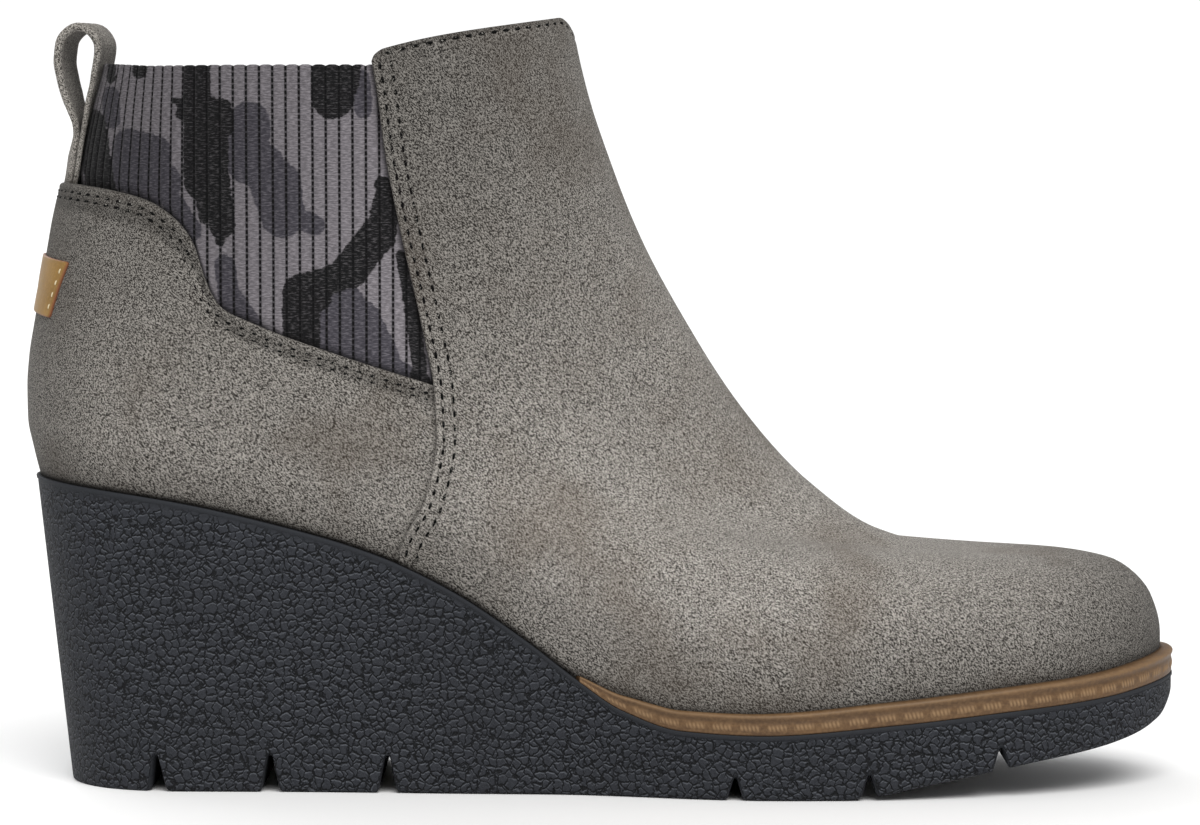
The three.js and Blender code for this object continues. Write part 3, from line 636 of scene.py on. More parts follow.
# Counter panel: round the heel under the gore, its front ends tucked under the vamp.
counter = {
    "rows": 60, "columns": 230, "offset": -0.9, "inner": -1.75, "roundest": 1.4, "band": 5.2, "bandSteps": 18,
    "stitchRows": (2.0, 3.4), "stitchDepth": 0.2, "stitchPitch": 3.0, "tuck": 5.0, "waves": 0.12,
}
counterOffset = lambda angle, level: counter["offset"] + heelSwell(angle, level)
counterEdges = panelEdges(counterHeight, counterOffset)


# Counter: the form moved in by the lap and out by the padding and the stitch dents; its top edge is rolled,
# and rounder where the padding is thick.
def makeCounter():
    band = counter["band"]
    share, drop = bandRows(counter["rows"], edgeSteps(counter["roundest"], band, counter["bandSteps"]), band)
    levelAt = lambda angle: panelLevel(angle, counterEdges, share, drop, band)
    end = angleAtVamp(levelAt, counter["tuck"], share.shape)
    angle = end * np.linspace(-1, 1, counter["columns"])[None]
    level = levelAt(angle)
    x, y, z = np.moveaxis(formPoint(angle, level), -1, 0)
    fromTop = np.broadcast_to(np.where(share >= 1, drop, far), angle.shape)
    fromVamp = vampEdgeX(z) - x
    above = z - topHeight(x)
    along = np.where(x < 14, y, seamDistance(x, z, counterLine)[1])
    swell = heelSwell(angle, level)
    radius = np.clip(0.5 * (swell - counter["offset"]), 0.42, counter["roundest"])
    outer = counter["offset"] + swell - edgeDrop(fromTop, radius)
    dent = stitchDent(fromTop, along, counter["stitchRows"], counter["stitchDepth"], counter["stitchPitch"])
    outer += dent * np.clip(fromVamp, 0, 1)
    calm = np.clip((fromTop - 4) / 10, 0, 1) * np.clip(above / 12, 0, 1)
    outer += counter["waves"] * softWaves(x, y, z) * calm
    inner = counter["inner"] + edgeDrop(fromTop, 0.25)
    # Painted shade: darker just above the sole, in the stitch rows, along the top edge and as a shadow under the
    # vamp's edge; the tone mark adds the painted light and shade by place, darker in a band a few mm below the top
    # edge.
    base = np.clip(1 - above / 2.2, 0, 1) ** 2 * 0.75 + np.clip(1 - above / 9, 0, 1) * 0.16
    line = rowShade(fromTop, counter["stitchRows"]) + 0.3 * np.clip(1 - fromTop / 0.6, 0, 1)
    under = 0.55 * np.clip(1 - np.abs(fromVamp) / 1.1, 0, 1)
    shade = np.clip(np.maximum(np.maximum(base, line), under), 0, 0.9)
    tone = suedeLightAndShade(x, z, True) * np.interp(fromTop, [0, 4, 12, 20], [0.9, 0.64, 0.8, 1.0])
    makeWall("counterPanel", angle, level, outer, inner, greySuede, "upper",
             {"shade": shade, "tone": tone})


makeCounter()


# Elastic gore: vertical ribs round the back from seam to seam, with a camouflage weave.
gore = {
    "crest": -1.5, "inside": -2.7, "ribPitch": 2.86, "ribDepth": 0.34, "rows": 92, "band": 2.4, "turnX": 40.0,
    "turnRadius": 29.0, "tuck": 3.2, "topRadius": 0.55, "backRise": 0.9, "dashPitch": 1.3,
    "tone": ([14, 38, 60, 80, 105], [0.76, 0.92, 1.12, 1.33, 1.55]),  # slanted distance in mm and the tone there
    # blots seen from the side, ends rounded to half mm: from x, from z, to x, to z, radius
    "black": [(38, 175, 38, 150.5, 3.1), (40, 146, 40, 133, 5), (44, 148.5, 44.5, 144, 1.7),
              (42.5, 132, 43.5, 123, 2.8), (43.5, 123, 43, 119.5, 1), (39, 129, 39.5, 124.5, 1.2),
              (34.5, 149.5, 33, 150, 0.7), (34.5, 147, 35, 148.5, 1.2), (69, 176, 67.5, 150.5, 4.7),
              (72.5, 170.5, 71, 154, 2.3), (79, 128, 77.5, 120.5, 3.1), (77, 121, 71, 113.5, 3.8),
              (71.5, 113, 61.5, 109.5, 3.1), (60.5, 108.5, 60.5, 97.5, 4.1), (78, 132, 79, 129, 1.7),
              (64.5, 109.5, 65, 107, 2), (13.5, 144.5, 16, 130, 3.7), (25, 165.5, 25, 156.5, 1.8),
              (18, 158, 18, 155, 1.2), (82, 116.5, 83.5, 108, 1.2), (84, 107, 86, 92, 1.6),
              (85.5, 90.5, 86.5, 89.5, 1.8)],
    "grey": [(18, 151, 18.5, 146, 2.2), (22.5, 140, 28.5, 138.5, 3.9), (22, 135, 30, 132, 4.6),
             (33, 127, 36.5, 122, 2.6), (49.5, 145, 49, 136.5, 4.6), (52.5, 136, 55, 129, 4.5),
             (56, 132, 56.5, 125, 4.7), (58, 125.5, 63.5, 123, 2.2), (44, 114.5, 45, 107, 2.3),
             (46, 107, 49.5, 102, 2.4), (69.5, 105.5, 69, 95, 5), (73.5, 103, 77.5, 95, 4),
             (81.5, 92, 86, 89.5, 2.2), (73.5, 154.5, 74, 148, 2)],
    "farMove": (9, 13),  # mm by which the far side's blots slide away from their twins
    "light": tint(106, 102, 106), "mid": tint(60, 58, 64), "dark": tint(17, 17, 18), "groove": tint(9, 9, 10),
    # the last colour is the painted shade that the shade mark mixes in
    "pale": tint(165, 160, 164), "shadeTint": tint(16, 15, 15),
}


def goreMaterial():
    material, tree, shader = newMaterial("ribbedElastic", 0.88, 0.1)
    place = addNode(tree, "ShaderNodeUVMap", uv_map="panelMap").outputs["UV"]
    split = addNode(tree, "ShaderNodeSeparateXYZ", {"Vector": place})
    across, height = split.outputs["X"], split.outputs["Y"]
    rib = maths(tree, "PINGPONG", across, gore["ribPitch"] / 2)
    wobble = noise(tree, place, 0.9, 2.0)
    edge = maths(tree, "MULTIPLY", maths(tree, "SUBTRACT", wobble, 0.5), 1.1)
    grain = noise(tree, place, 3.1, 2.0, 0.6)
    grey = spread(tree, maths(tree, "ADD", mark(tree, "greyBlob"), edge), -0.15, 0.15)
    black = spread(tree, maths(tree, "ADD", mark(tree, "blackBlob"), edge), -0.15, 0.15)
    colour = mixColour(tree, grey, gore["light"], gore["mid"])
    colour = mixColour(tree, black, colour, gore["dark"])
    streakPlace = addNode(tree, "ShaderNodeMapping", {"Vector": place, "Scale": (0.8, 3.4, 1.0)}).outputs[0]
    pick = noise(tree, streakPlace, 1.0, 2.0, 0.6)
    colour = mixColour(tree, spread(tree, pick, 0.38, 0.62, 0.45, 0.0), colour, gore["groove"])
    colour = mixColour(tree, spread(tree, pick, 0.5, 0.72, 0.0, 0.13), colour, gore["pale"])
    # Painted shade in the rib grooves, broken by lighter ticks where the cross threads show.
    dash = maths(tree, "PINGPONG", height, gore["dashPitch"] / 2)
    inGroove = spread(tree, rib, 0.16, 0.36, 1.0, 0.0, True)
    inGap = spread(tree, dash, 0.1, 0.3, 0.6, 1.0, True)
    colour = mixColour(tree, maths(tree, "MULTIPLY", inGroove, inGap), colour, gore["groove"])
    paintToned(tree, shader, mixColour(tree, mark(tree, "shade"), colour, gore["shadeTint"]))
    shader.inputs["Sheen Weight"].default_value = 0.05
    shader.inputs["Sheen Roughness"].default_value = 0.5
    relief = maths(tree, "ADD", maths(tree, "MULTIPLY", pick, 0.35), maths(tree, "MULTIPLY", grain, 0.5))
    relief = maths(tree, "SUBTRACT", relief, maths(tree, "MULTIPLY", inGroove, inGap))
    bumped(tree, shader, relief, 0.8, 0.00022)
    return material


# Depth inside the blots: radius less the distance to each stroke's line, and a smooth largest of them all.
def blobDepth(x, z, blobs):
    ax, az, bx, bz, radius = (np.array(v, float) for v in zip(*blobs))
    px, pz = x[..., None], z[..., None]
    t = np.clip(((px - ax) * (bx - ax) + (pz - az) * (bz - az)) / ((bx - ax) ** 2 + (bz - az) ** 2), 0, 1)
    depth = radius - np.hypot(px - ax - t * (bx - ax), pz - az - t * (bz - az))
    return np.log(np.exp(depth * 3).sum(-1)) / 3


# Way round from the back: straight along x on the sides, turning about a point behind turnX.
def wayRound(point):
    x, y = point[..., 0], np.abs(point[..., 1])
    back = gore["turnRadius"] * math.pi / 2
    turn = gore["turnRadius"] * np.arctan2(gore["turnX"] - x, np.maximum(y, 1e-6))
    return np.where(x >= gore["turnX"], back + x - gore["turnX"], back - turn)


# Value of a table by height and way round, straight between its rows and columns.
def readTable(table, heights, ways, z, way):
    i = np.clip((z - heights[0]) / (heights[1] - heights[0]), 0, len(heights) - 1.001)
    j = np.clip(way / (ways[1] - ways[0]), 0, len(ways) - 1.001)
    a, b = i.astype(int), j.astype(int)
    low = table[a, b] * (1 - j + b) + table[a, b + 1] * (j - b)
    high = table[a + 1, b] * (1 - j + b) + table[a + 1, b + 1] * (j - b)
    return low * (1 - i + a) + high * (i - a)


# Gore: the form moved in to the ribs' crests, less a bell-shaped groove at each pitch, the dips at its two
# seams and the rolled top; rows run from below the counter's edge to the top, columns follow the way round.
def makeGore():
    back, pitch, band = gore["turnRadius"] * math.pi / 2, gore["ribPitch"], gore["band"]
    step = np.array([0, 0.34, 0.8, 1.43, 2.06, 2.52])
    ribs = np.arange(-35, 35)
    across = np.append((ribs[:, None] * pitch + step).ravel(), 35 * pitch)
    angles, heights, ways = np.linspace(0, 1.95, 160), np.linspace(80, 159, 60), np.linspace(0, 102, 240)
    angle, z = np.meshgrid(angles, heights)
    point = surface(angle, levelOnLine(angle, lambda x: z), gore["crest"])
    found = wayRound(point)
    angleOf = np.stack([np.interp(ways, found[row], angles) for row in range(len(heights))])
    xOf = np.stack([np.interp(ways, found[row], point[row, :, 0]) for row in range(len(heights))])
    share, drop = bandRows(gore["rows"], edgeSteps(gore["topRadius"], band, 4), band)
    size = np.broadcast_to(np.abs(across)[None], (len(share), len(across)))
    z = np.full(size.shape, 120.0)
    for turn in range(3):
        x = readTable(xOf, heights, ways, z, size)
        bottom = counterHeight(x) - gore["tuck"]
        top = form["goreTop"] + gore["backRise"] * np.clip((27 - x) / 14, 0, 1)
        z = bottom + (top - band - bottom) * share + np.where(share >= 1, band - drop, 0)
        size = np.minimum(np.abs(across)[None], back + vampEdgeX(z) + 3.6 - gore["turnX"])
    angle = readTable(angleOf, heights, ways, z, size)
    toGroove = np.abs((across + pitch / 2) % pitch - pitch / 2)[None]
    z = z - 0.32 * np.exp(-(toGroove / 0.42) ** 2) * np.clip(1 - (top - z) / band, 0, 1)
    level = levelOnLine(angle, lambda x: z)
    x = readTable(xOf, heights, ways, z, size)
    fromTop, fromCounter, fromVamp = top - z, z - counterHeight(x), vampEdgeX(z) - x
    dip = 0.55 * np.clip(1 - fromCounter / 2.2, 0, 1) + 0.25 * np.clip(1 - fromVamp / 2.0, 0, 1)
    groove = gore["ribDepth"] * np.exp(-(toGroove / 0.34) ** 2)
    outer = gore["crest"] - groove - dip - edgeDrop(fromTop, gore["topRadius"])
    inner = gore["inside"] + edgeDrop(fromTop, 0.4)
    outer = np.maximum(outer, inner + 0.25)
    nearSide = np.broadcast_to(across < 0, size.shape)
    turned = np.where(nearSide, angle, 2 * math.pi - angle)
    slide = np.where(nearSide, 0.0, np.clip((x - 16) / 24, 0, 1))
    moveX, moveZ = gore["farMove"]
    black, grey = (blobDepth(x + moveX * slide, z + moveZ * slide, gore[key]) for key in ("black", "grey"))
    # Painted shadow: darker along the counter's edge and the vamp's edge, where they lap over the gore.
    shade = 0.8 * np.clip(1 - fromCounter / 1.3, 0, 1) + 0.75 * np.clip(1 - fromVamp / 1.2, 0, 1)
    tone = np.interp(x + 0.3 * (150 - z), *gore["tone"])
    ribMap = np.stack([np.broadcast_to(across[None], z.shape), z], -1)
    marks = {"blackBlob": black, "greyBlob": grey, "shade": np.clip(shade, 0, 0.92), "tone": tone}
    makeWall("goreWeave", turned, level, outer, inner, goreMaterial(), "elastic_gore", marks,
             ribMap, True)


makeGore()


# Linings inside the shaft and the heel: places in mm from the form, from the panels' tops and from the seam.
lining = {
    "outer": -1.85, "inner": -2.6, "belowCollar": 0.9, "belowCounter": 3.6, "pastSeam": 5.4,
    "rows": 60, "columns": 110,
}


# Knit: round cells of a nearly even cell pattern, darker between them and in soft clouds.
def knitMaterial(name, colour):
    material, tree, shader = newMaterial(name, 0.9, 0.15)
    place = objectPlace(tree, (0.0011,) * 3)
    cell = addNode(tree, "ShaderNodeTexVoronoi", {"Vector": place, "Scale": 1.0, "Randomness": 0.35},
                   feature="F1").outputs["Distance"]
    cloud = grainNoise(tree, 0.02)
    dark = tuple(v * 0.45 for v in colour[:3]) + (1.0,)
    knit = mixColour(tree, spread(tree, cell, 0.15, 0.75), colour, dark)
    knit = mixColour(tree, spread(tree, cloud, 0.35, 0.7, 0.0, 0.3), knit, dark)
    tree.links.new(knit, shader.inputs["Base Color"])
    shader.inputs["Sheen Weight"].default_value = 0.2
    bumped(tree, shader, maths(tree, "SUBTRACT", 1.0, cell), 0.7, 0.0002)
    return material


darkKnit = knitMaterial("darkKnit", tint(66, 63, 61))


# Linings: even rows from the sole up to a little below the panel's top, as a thin wall inside the leather;
# the shaft's runs from seam to seam round the front, the heel's round the back.
def makeLinings():
    rows = np.linspace(0, 1, lining["rows"])[:, None]

    def levelAt(angle, edges, below):
        bottom, top, step = (np.interp(fold(angle), halfTurn, v) for v in edges)
        return bottom + 0.02 + (top - below / step - bottom - 0.02) * rows

    shaftLevel = lambda angle: levelAt(angle, vampEdges, lining["belowCollar"])
    heelLevel = lambda angle: levelAt(angle, counterEdges, lining["belowCounter"])
    edge = angleAtVamp(shaftLevel, lining["pastSeam"], rows.shape)
    shaft = edge + (2 * math.pi - 2 * edge) * np.linspace(0, 1, lining["columns"])[None]
    heel = (edge - 0.02) * np.linspace(-1, 1, lining["columns"])[None]
    for name, angle, level in (("shaftLining", shaft, shaftLevel(shaft)), ("heelLining", heel, heelLevel(heel))):
        makeWall(name, angle, level, lining["outer"], lining["inner"], darkKnit, "upper")


makeLinings()


# Wedge sole: outline from the lowest ring, drafted walls, cuts across the underside.
sole = {
    "lipBack": 1.1, "lipToe": 2.6, "backDraft": 0.112, "sideDraft": 0.05, "edgeRound": 1.6, "cutRound": 0.8,
    # x as a share of the length, height, width at the top, width at the base
    "cuts": [(0.1135, 8, 1.2, 3.8), (0.2111, 8, 1.2, 3.8), (0.3123, 8, 1.2, 3.8),
             (0.6099, 4.8, 0.8, 3), (0.7238, 4.8, 0.8, 3), (0.8369, 4.8, 0.8, 3)],
    "columns": 300, "wallRows": 36, "lipHeight": 0.95, "lipStep": 0.22,
    # the crevice colour is painted shade between the pebbles and on their lower edges, and darkens fine specks
    # too; the high colour is a painted highlight on upper edges
    "colour": tint(45, 47, 52), "crevice": tint(13, 14, 16), "high": tint(84, 87, 93), "smooth": tint(40, 42, 46),
    "dust": tint(34, 35, 38), "grain": 0.0018, "warp": 0.8,
}
firstRing = [float(column[0]) for column in fineRings]
heelPull = lambda s: (1 - np.minimum(1, s / 0.3)) ** 2  # share of the draft that brings the heel's end forward


# Plan outline at an angle: the lowest ring's half width plus the lip, less the draft with depth and the inset.
def soleOutline(angle, depth, inset):
    s = (1 - np.cos(angle)) / 2
    side = np.where(np.sin(angle) >= 0, -1, 1)
    ending = endRound(s, firstRing[6], firstRing[7])
    half = ball / 2 * through(form["stations"], np.array(firstRing[8:]), s) * ending
    lip = sole["lipBack"] + (sole["lipToe"] - sole["lipBack"]) * s
    x = length * s + heelPull(s) * (sole["backDraft"] * depth + inset)
    x = x - inset * np.maximum(0, (s - 0.93) / 0.07) ** 2
    return x, centreLine(s), side * (half + (lip - sole["sideDraft"] * depth - inset) * ending)


# Height of the underside with its cuts: each cut rises from its rounded base to its narrow top.
def cutHeight(x):
    z = underHeight(x)
    r = sole["cutRound"]
    for share, height, top, foot in sole["cuts"]:
        away = np.abs(x - share * length)
        rise = np.interp(away, [0, top / 4, top / 2, foot / 2, foot / 2 + 0.35 * r, foot / 2 + 0.9 * r],
                         [height, height, height - top / 2, r, 0.35 * r, 0])
        z = z + np.where(away < foot / 2 + 0.9 * r, rise, 0)
    return z


# Pebbles: cells of a warped cell pattern, high inside and low along thin crevices between them.
def pebbleHeight(tree, place):
    warp = addNode(tree, "ShaderNodeTexNoise", {"Vector": place, "Scale": 1.4, "Detail": 1.0}).outputs["Color"]
    moved = addNode(tree, "ShaderNodeVectorMath", {0: warp, 3: sole["warp"]}, operation="SCALE").outputs[0]
    warped = addNode(tree, "ShaderNodeVectorMath", {0: place, 1: moved}, operation="ADD").outputs[0]
    toEdge = addNode(tree, "ShaderNodeTexVoronoi", {"Vector": warped, "Scale": 1.0, "Randomness": 1.0},
                     feature="DISTANCE_TO_EDGE").outputs["Distance"]
    swell = noise(tree, place, 1.5, 1.0)
    return spread(tree, maths(tree, "ADD", toEdge, maths(tree, "MULTIPLY", swell, 0.3)), 0.12, 0.3, 0.0, 1.0, True)


# Rubber: painted shade in the crevices, a painted highlight on upper edges where the height falls away just above
# and painted shade on lower edges, plain moulded bands.
def soleMaterial():
    material, tree, shader = newMaterial("pebbledRubber", 0.72, 0.16)
    place = objectPlace(tree, (sole["grain"],) * 3)
    above = addNode(tree, "ShaderNodeVectorMath", {0: place, 1: (0, 0, 0.16)}, operation="ADD").outputs[0]
    fine = noise(tree, place, 4.0, 2.0, 0.6)
    rough = maths(tree, "SUBTRACT", 1.0, mark(tree, "plain"))
    here = pebbleHeight(tree, place)
    edge = maths(tree, "MULTIPLY", maths(tree, "SUBTRACT", here, pebbleHeight(tree, above)), rough)
    relief = maths(tree, "ADD", maths(tree, "MULTIPLY", here, 0.8), maths(tree, "MULTIPLY", fine, 0.35))
    pebble = maths(tree, "MULTIPLY", relief, rough)
    # painted shade in the crevices; painted highlight on upper edges and painted shade on lower edges, from the
    # height a little above
    colour = mixColour(tree, spread(tree, here, 0.0, 0.7), sole["crevice"], sole["colour"])
    colour = mixColour(tree, spread(tree, edge, 0.1, 0.9), colour, sole["high"])
    colour = mixColour(tree, spread(tree, edge, -0.1, -0.9, 0.0, 0.8), colour, sole["crevice"])
    colour = mixColour(tree, spread(tree, fine, 0.4, 0.7, 0.0, 0.3), colour, sole["crevice"])
    colour = mixColour(tree, mark(tree, "plain"), colour, sole["smooth"])
    dust = grainNoise(tree, 0.02, 3.0)
    colour = mixColour(tree, spread(tree, dust, 0.4, 0.75, 0.0, 0.2), colour, sole["dust"])
    tree.links.new(colour, shader.inputs["Base Color"])
    tree.links.new(spread(tree, fine, 0.3, 0.7, 0.6, 0.8), shader.inputs["Roughness"])
    bumped(tree, shader, pebble, 1.0, 0.0006)
    return material


# Sections along the sole as shares of its length: close together at both ends and at every corner of a cut.
def soleSections():
    even = (1 - np.cos(np.linspace(0, math.pi, sole["columns"]))) / 2
    drop = np.interp(even, [0, 0.3], [wedge, 40])
    lowX = length * even + heelPull(even) * (sole["backDraft"] * drop + sole["edgeRound"])
    corners = []
    for share, height, top, foot in sole["cuts"]:
        away = np.array([0, top / 4, top / 2, top / 2 + 0.3, (top + foot) / 4, foot / 2 - 0.3, foot / 2,
                         foot / 2 + 0.28, foot / 2 + 0.72, foot / 2 + 1.1])
        corners += [share * length - away, share * length + away]
    s = np.unique(np.concatenate([even, np.interp(np.concatenate(corners), lowX, even)]).round(6))
    return s[np.concatenate([[True], np.diff(s) > 2e-5])]


# Sole: each section is a closed line. From the middle of the top it runs out to the lip, down the drafted wall,
# round the lower edge and under to the middle, and its mirror about the foot's curve brings it back.
def makeSole():
    s = soleSections()
    lateral = np.clip(np.arccos(np.clip(1 - 2 * s, -1, 1)), 1e-9, math.pi - 1e-9)[:, None]
    x0 = (length * s)[:, None]
    fall = topHeight(x0) - underHeight(x0)
    floorZ = cutHeight(x0 + heelPull(s)[:, None] * (sole["backDraft"] * fall + 0.5))
    depthFull = topHeight(x0) - floorZ
    corner = np.linspace(0, math.pi / 2, 6)[1:]
    lipDrop = np.array([0, 0.06, 0.25, 0.5, sole["lipHeight"] - 0.2, sole["lipHeight"]])
    lipInset = np.array([0.3, 0.08, 0, 0, 0, sole["lipStep"]])
    wall = np.linspace(0, 1, sole["wallRows"])[1:]
    depth = np.concatenate([np.broadcast_to(lipDrop, (len(s), 6)),
                            sole["lipHeight"] + (depthFull - sole["edgeRound"] - sole["lipHeight"]) * wall,
                            depthFull - sole["edgeRound"] * (1 - np.sin(corner))], 1)
    inset = np.concatenate([lipInset, np.full(len(wall), sole["lipStep"]),
                            sole["lipStep"] + sole["edgeRound"] * (1 - np.cos(corner))])[None]
    x, centre, half = soleOutline(lateral, depth, inset)
    z = topHeight(x) - depth
    z = np.where(np.arange(z.shape[1]) >= z.shape[1] - 6, np.maximum(z, floorZ), z)
    z[:, -1:] = floorZ
    share = np.linspace(0, 1, 9)[:-1]
    eight = lambda value: np.broadcast_to(value, (len(s), 8))
    out = np.concatenate([half[:, :1] * share, half, half[:, -1:] * share[::-1]], 1)
    xs = np.concatenate([eight(x[:, :1]), x, eight(x[:, -1:])], 1)
    zs = np.concatenate([eight(z[:, :1]), z, eight(floorZ)], 1)
    middle = np.broadcast_to(centre[:, :1], xs.shape)
    right = np.stack([xs, middle + out, zs], -1)
    left = np.stack([xs, middle - out, zs], -1)[:, -2:0:-1]
    points = np.concatenate([right, left], 1)
    # plain moulded bands on top, along the lip and inside the cuts
    lipPlain = np.concatenate([np.ones(13), [0.8], np.zeros(len(wall) + 13)])[None]
    away = np.min([np.abs(xs - share * length) / (foot / 2 + 0.3)
                   for share, height, top, foot in sole["cuts"]], axis=0)
    under = np.arange(xs.shape[1]) > 13 + len(wall)
    inCut = np.where((away < 1) & (zs - underHeight(xs) < 8.2) & under, 0.8, 0.0)
    plain = np.maximum(np.broadcast_to(lipPlain, xs.shape), inCut)
    plain = np.concatenate([plain, plain[:, -2:0:-1]], 1)
    makePiece("soleRubber", points, gridQuads(*points.shape[:2], roundColumns=True), soleMaterial(),
              ["wedge_sole"], marks={"plain": plain}, merge=True)


makeSole()


# Welt: strip on the sole's flange from its point at the arch round the toe.
welt = {
    "start": 120.3, "inset": 0.15, "columns": 1500, "ridgePitch": 0.86, "dash": 4.5, "gap": 1.35, "relief": 0.22,
    # the last colour is the painted shade that the shade mark mixes in
    "colour": tint(94, 68, 40), "low": tint(72, 50, 28), "high": tint(142, 114, 82), "shadeTint": tint(50, 35, 22),
}


def weltMaterial():
    material, tree, shader = newMaterial("tanWelt", 0.55, 0.35)
    streak = noise(tree, objectPlace(tree, (0.012, 0.012, 0.0012)), 1.0, 3.0, 0.6)
    speck = grainNoise(tree, 0.0008, 2.0, 0.6)
    colour = mixColour(tree, spread(tree, streak, 0.3, 0.72), welt["colour"], welt["low"])
    colour = mixColour(tree, spread(tree, speck, 0.4, 0.75, 0.0, 0.3), colour, welt["high"])
    colour = mixColour(tree, mark(tree, "shade"), colour, welt["shadeTint"])
    colour = mixColour(tree, mark(tree, "worn"), colour, welt["high"])
    tree.links.new(colour, shader.inputs["Base Color"])
    tree.links.new(spread(tree, speck, 0.3, 0.7, 0.45, 0.65), shader.inputs["Roughness"])
    bumped(tree, shader, maths(tree, "ADD", maths(tree, "MULTIPLY", speck, 0.6), streak), 0.45, 0.00012)
    return material


# Ridges slant across a band of the wall: a cosine of the slanted distance, in dashes with plain gaps between.
def weltRelief(along, rise):
    period = welt["dash"] + welt["gap"]
    place = np.mod(along, period)
    dash = np.clip(np.minimum(place, welt["dash"] - place) / 0.35, 0, 1)
    band = np.clip(1 - np.abs(rise - 0.36) / 0.16, 0, 1) ** 0.6
    ridge = 0.5 + 0.5 * np.cos(2 * math.pi * (along + rise * 1.3) / welt["ridgePitch"])
    return dash * band * (0.15 + 0.85 * ridge)


# Welt: its wall stands on the sole's outline, moved out by a bead near the top and by the ridges; a crown runs
# over to an inner wall just inside the leather, and both ends are closed.
def makeWelt():
    lowAngle = np.arccos(1 - 2 * welt["start"] / length)
    angle = np.linspace(lowAngle, 2 * math.pi - lowAngle, welt["columns"])[:, None]
    x0, centre, half = soleOutline(angle, 0.0, welt["inset"])
    bottom, top = topHeight(x0) + 0.03, np.maximum(weltHeight(x0) + 0.2, topHeight(x0) + 0.12)
    wall = np.linspace(0, 1, 17)[None]
    z = bottom + (top - bottom) * wall
    plan = np.concatenate([x0, centre + half], 1)
    along = np.concatenate([[0], np.cumsum(np.linalg.norm(np.diff(plan, axis=0), axis=1))])[:, None]
    ends = np.clip(np.minimum(along, along[-1] - along) / 16, 0, 1)
    bead = 0.28 * np.exp(-((wall - 0.86) / 0.11) ** 2) - 0.12 * np.exp(-((wall - 0.66) / 0.08) ** 2)
    ridges = weltRelief(along, wall)
    stand = bead * ends + welt["relief"] * ridges * np.clip(ends * 2 - 0.6, 0, 1)
    roundTop = 0.45 * np.clip((wall - 0.9) / 0.1, 0, 1) ** 2 + 0.15 * np.clip((0.06 - wall) / 0.06, 0, 1)
    out = np.stack([np.gradient(plan[:, 1]), -np.gradient(plan[:, 0])], -1)
    out = out / np.linalg.norm(out, axis=1, keepdims=True)
    if out[0, 1] > 0:
        out = -out
    outerPlan = plan[:, None, :] + (stand - roundTop)[..., None] * out[:, None, :]
    outer = np.concatenate([outerPlan, z[..., None]], -1)
    innerZ = np.concatenate([top + 0.05, top - 0.25, bottom], 1)
    flat = np.broadcast_to(angle, innerZ.shape)
    inner = surface(flat, levelOnLine(flat, lambda x: innerZ), -0.45)
    inner[..., 2] = innerZ
    crown = (outer[:, -1:] + inner[:, :1]) / 2
    crown[..., 2] = top + 0.1
    points = np.concatenate([outer, crown, inner], 1)
    # Painted shade: darker at the welt's foot, in the groove under the bead, on the crown and on the inner wall.
    foot = 0.5 * np.clip(1 - wall / 0.08, 0, 1) + 0.28 * np.exp(-((wall - 0.64) / 0.07) ** 2)
    shade = np.concatenate([foot * np.ones_like(z), np.full((len(z), 1), 0.25), np.full((len(z), 3), 0.8)], 1)
    worn = np.concatenate([0.95 * ridges + 0.35 * np.exp(-((wall - 0.9) / 0.09) ** 2), np.zeros((len(z), 4))], 1)
    rows, columns = points.shape[:2]
    k = np.arange(columns // 2 - 1)
    near = np.stack([k, k + 1, columns - 2 - k, columns - 1 - k], -1)
    quads = np.concatenate([gridQuads(rows, columns, roundColumns=True), near,
                            near[:, ::-1] + (rows - 1) * columns])
    makePiece("weltStrip", points, quads, weltMaterial(), ["welt"],
              marks={"shade": shade, "worn": worn})


makeWelt()


# Insole: cupped cushion on the sole inside the lining; its wall stays a gap in from the lining.
insole = {"rows": 22, "columns": 150, "height": 4.2, "cup": 2.2, "gap": 0.5, "under": 0.35}


# Insole: rows run from the middle line out to the rim, cupped by the fourth power of the share, over the rim
# and back under on the sole.
def makeInsole():
    angle = np.linspace(0, 2 * math.pi, insole["columns"] + 1)[:-1][None]
    share = np.linspace(0, 1, insole["rows"])[:, None]

    def rim(lift):
        level = levelOnLine(fold(angle), lambda x: topHeight(x) + lift)
        return surface(angle, level, lining["inner"] - insole["gap"])

    upper, low = rim(insole["height"]), rim(0.45)
    columns = insole["columns"]
    middle = upper.copy()
    middle[..., 1] = (upper[..., 1] + upper[:, -np.arange(columns) % columns, 1]) / 2
    top = middle + (upper - middle) * share[..., None]
    top[..., 2] = topHeight(top[..., 0]) + insole["height"] - insole["cup"] * 0.5 * (1 - share ** 4)
    bottom = middle + (low - middle) * share[::-1][..., None]
    bottom[..., 2] = topHeight(bottom[..., 0]) + insole["under"]
    points = np.concatenate([top, bottom])
    k = np.arange(columns // 2)
    cap = np.stack([k, (k + 1) % columns, (columns - k - 1) % columns, (columns - k) % columns], -1)
    quads = [gridQuads(*points.shape[:2], roundColumns=True), cap[:, ::-1], cap + (len(points) - 1) * columns]
    makePiece("insoleCushion", points, np.concatenate(quads), darkKnit, ["insole"], merge=True)


makeInsole()


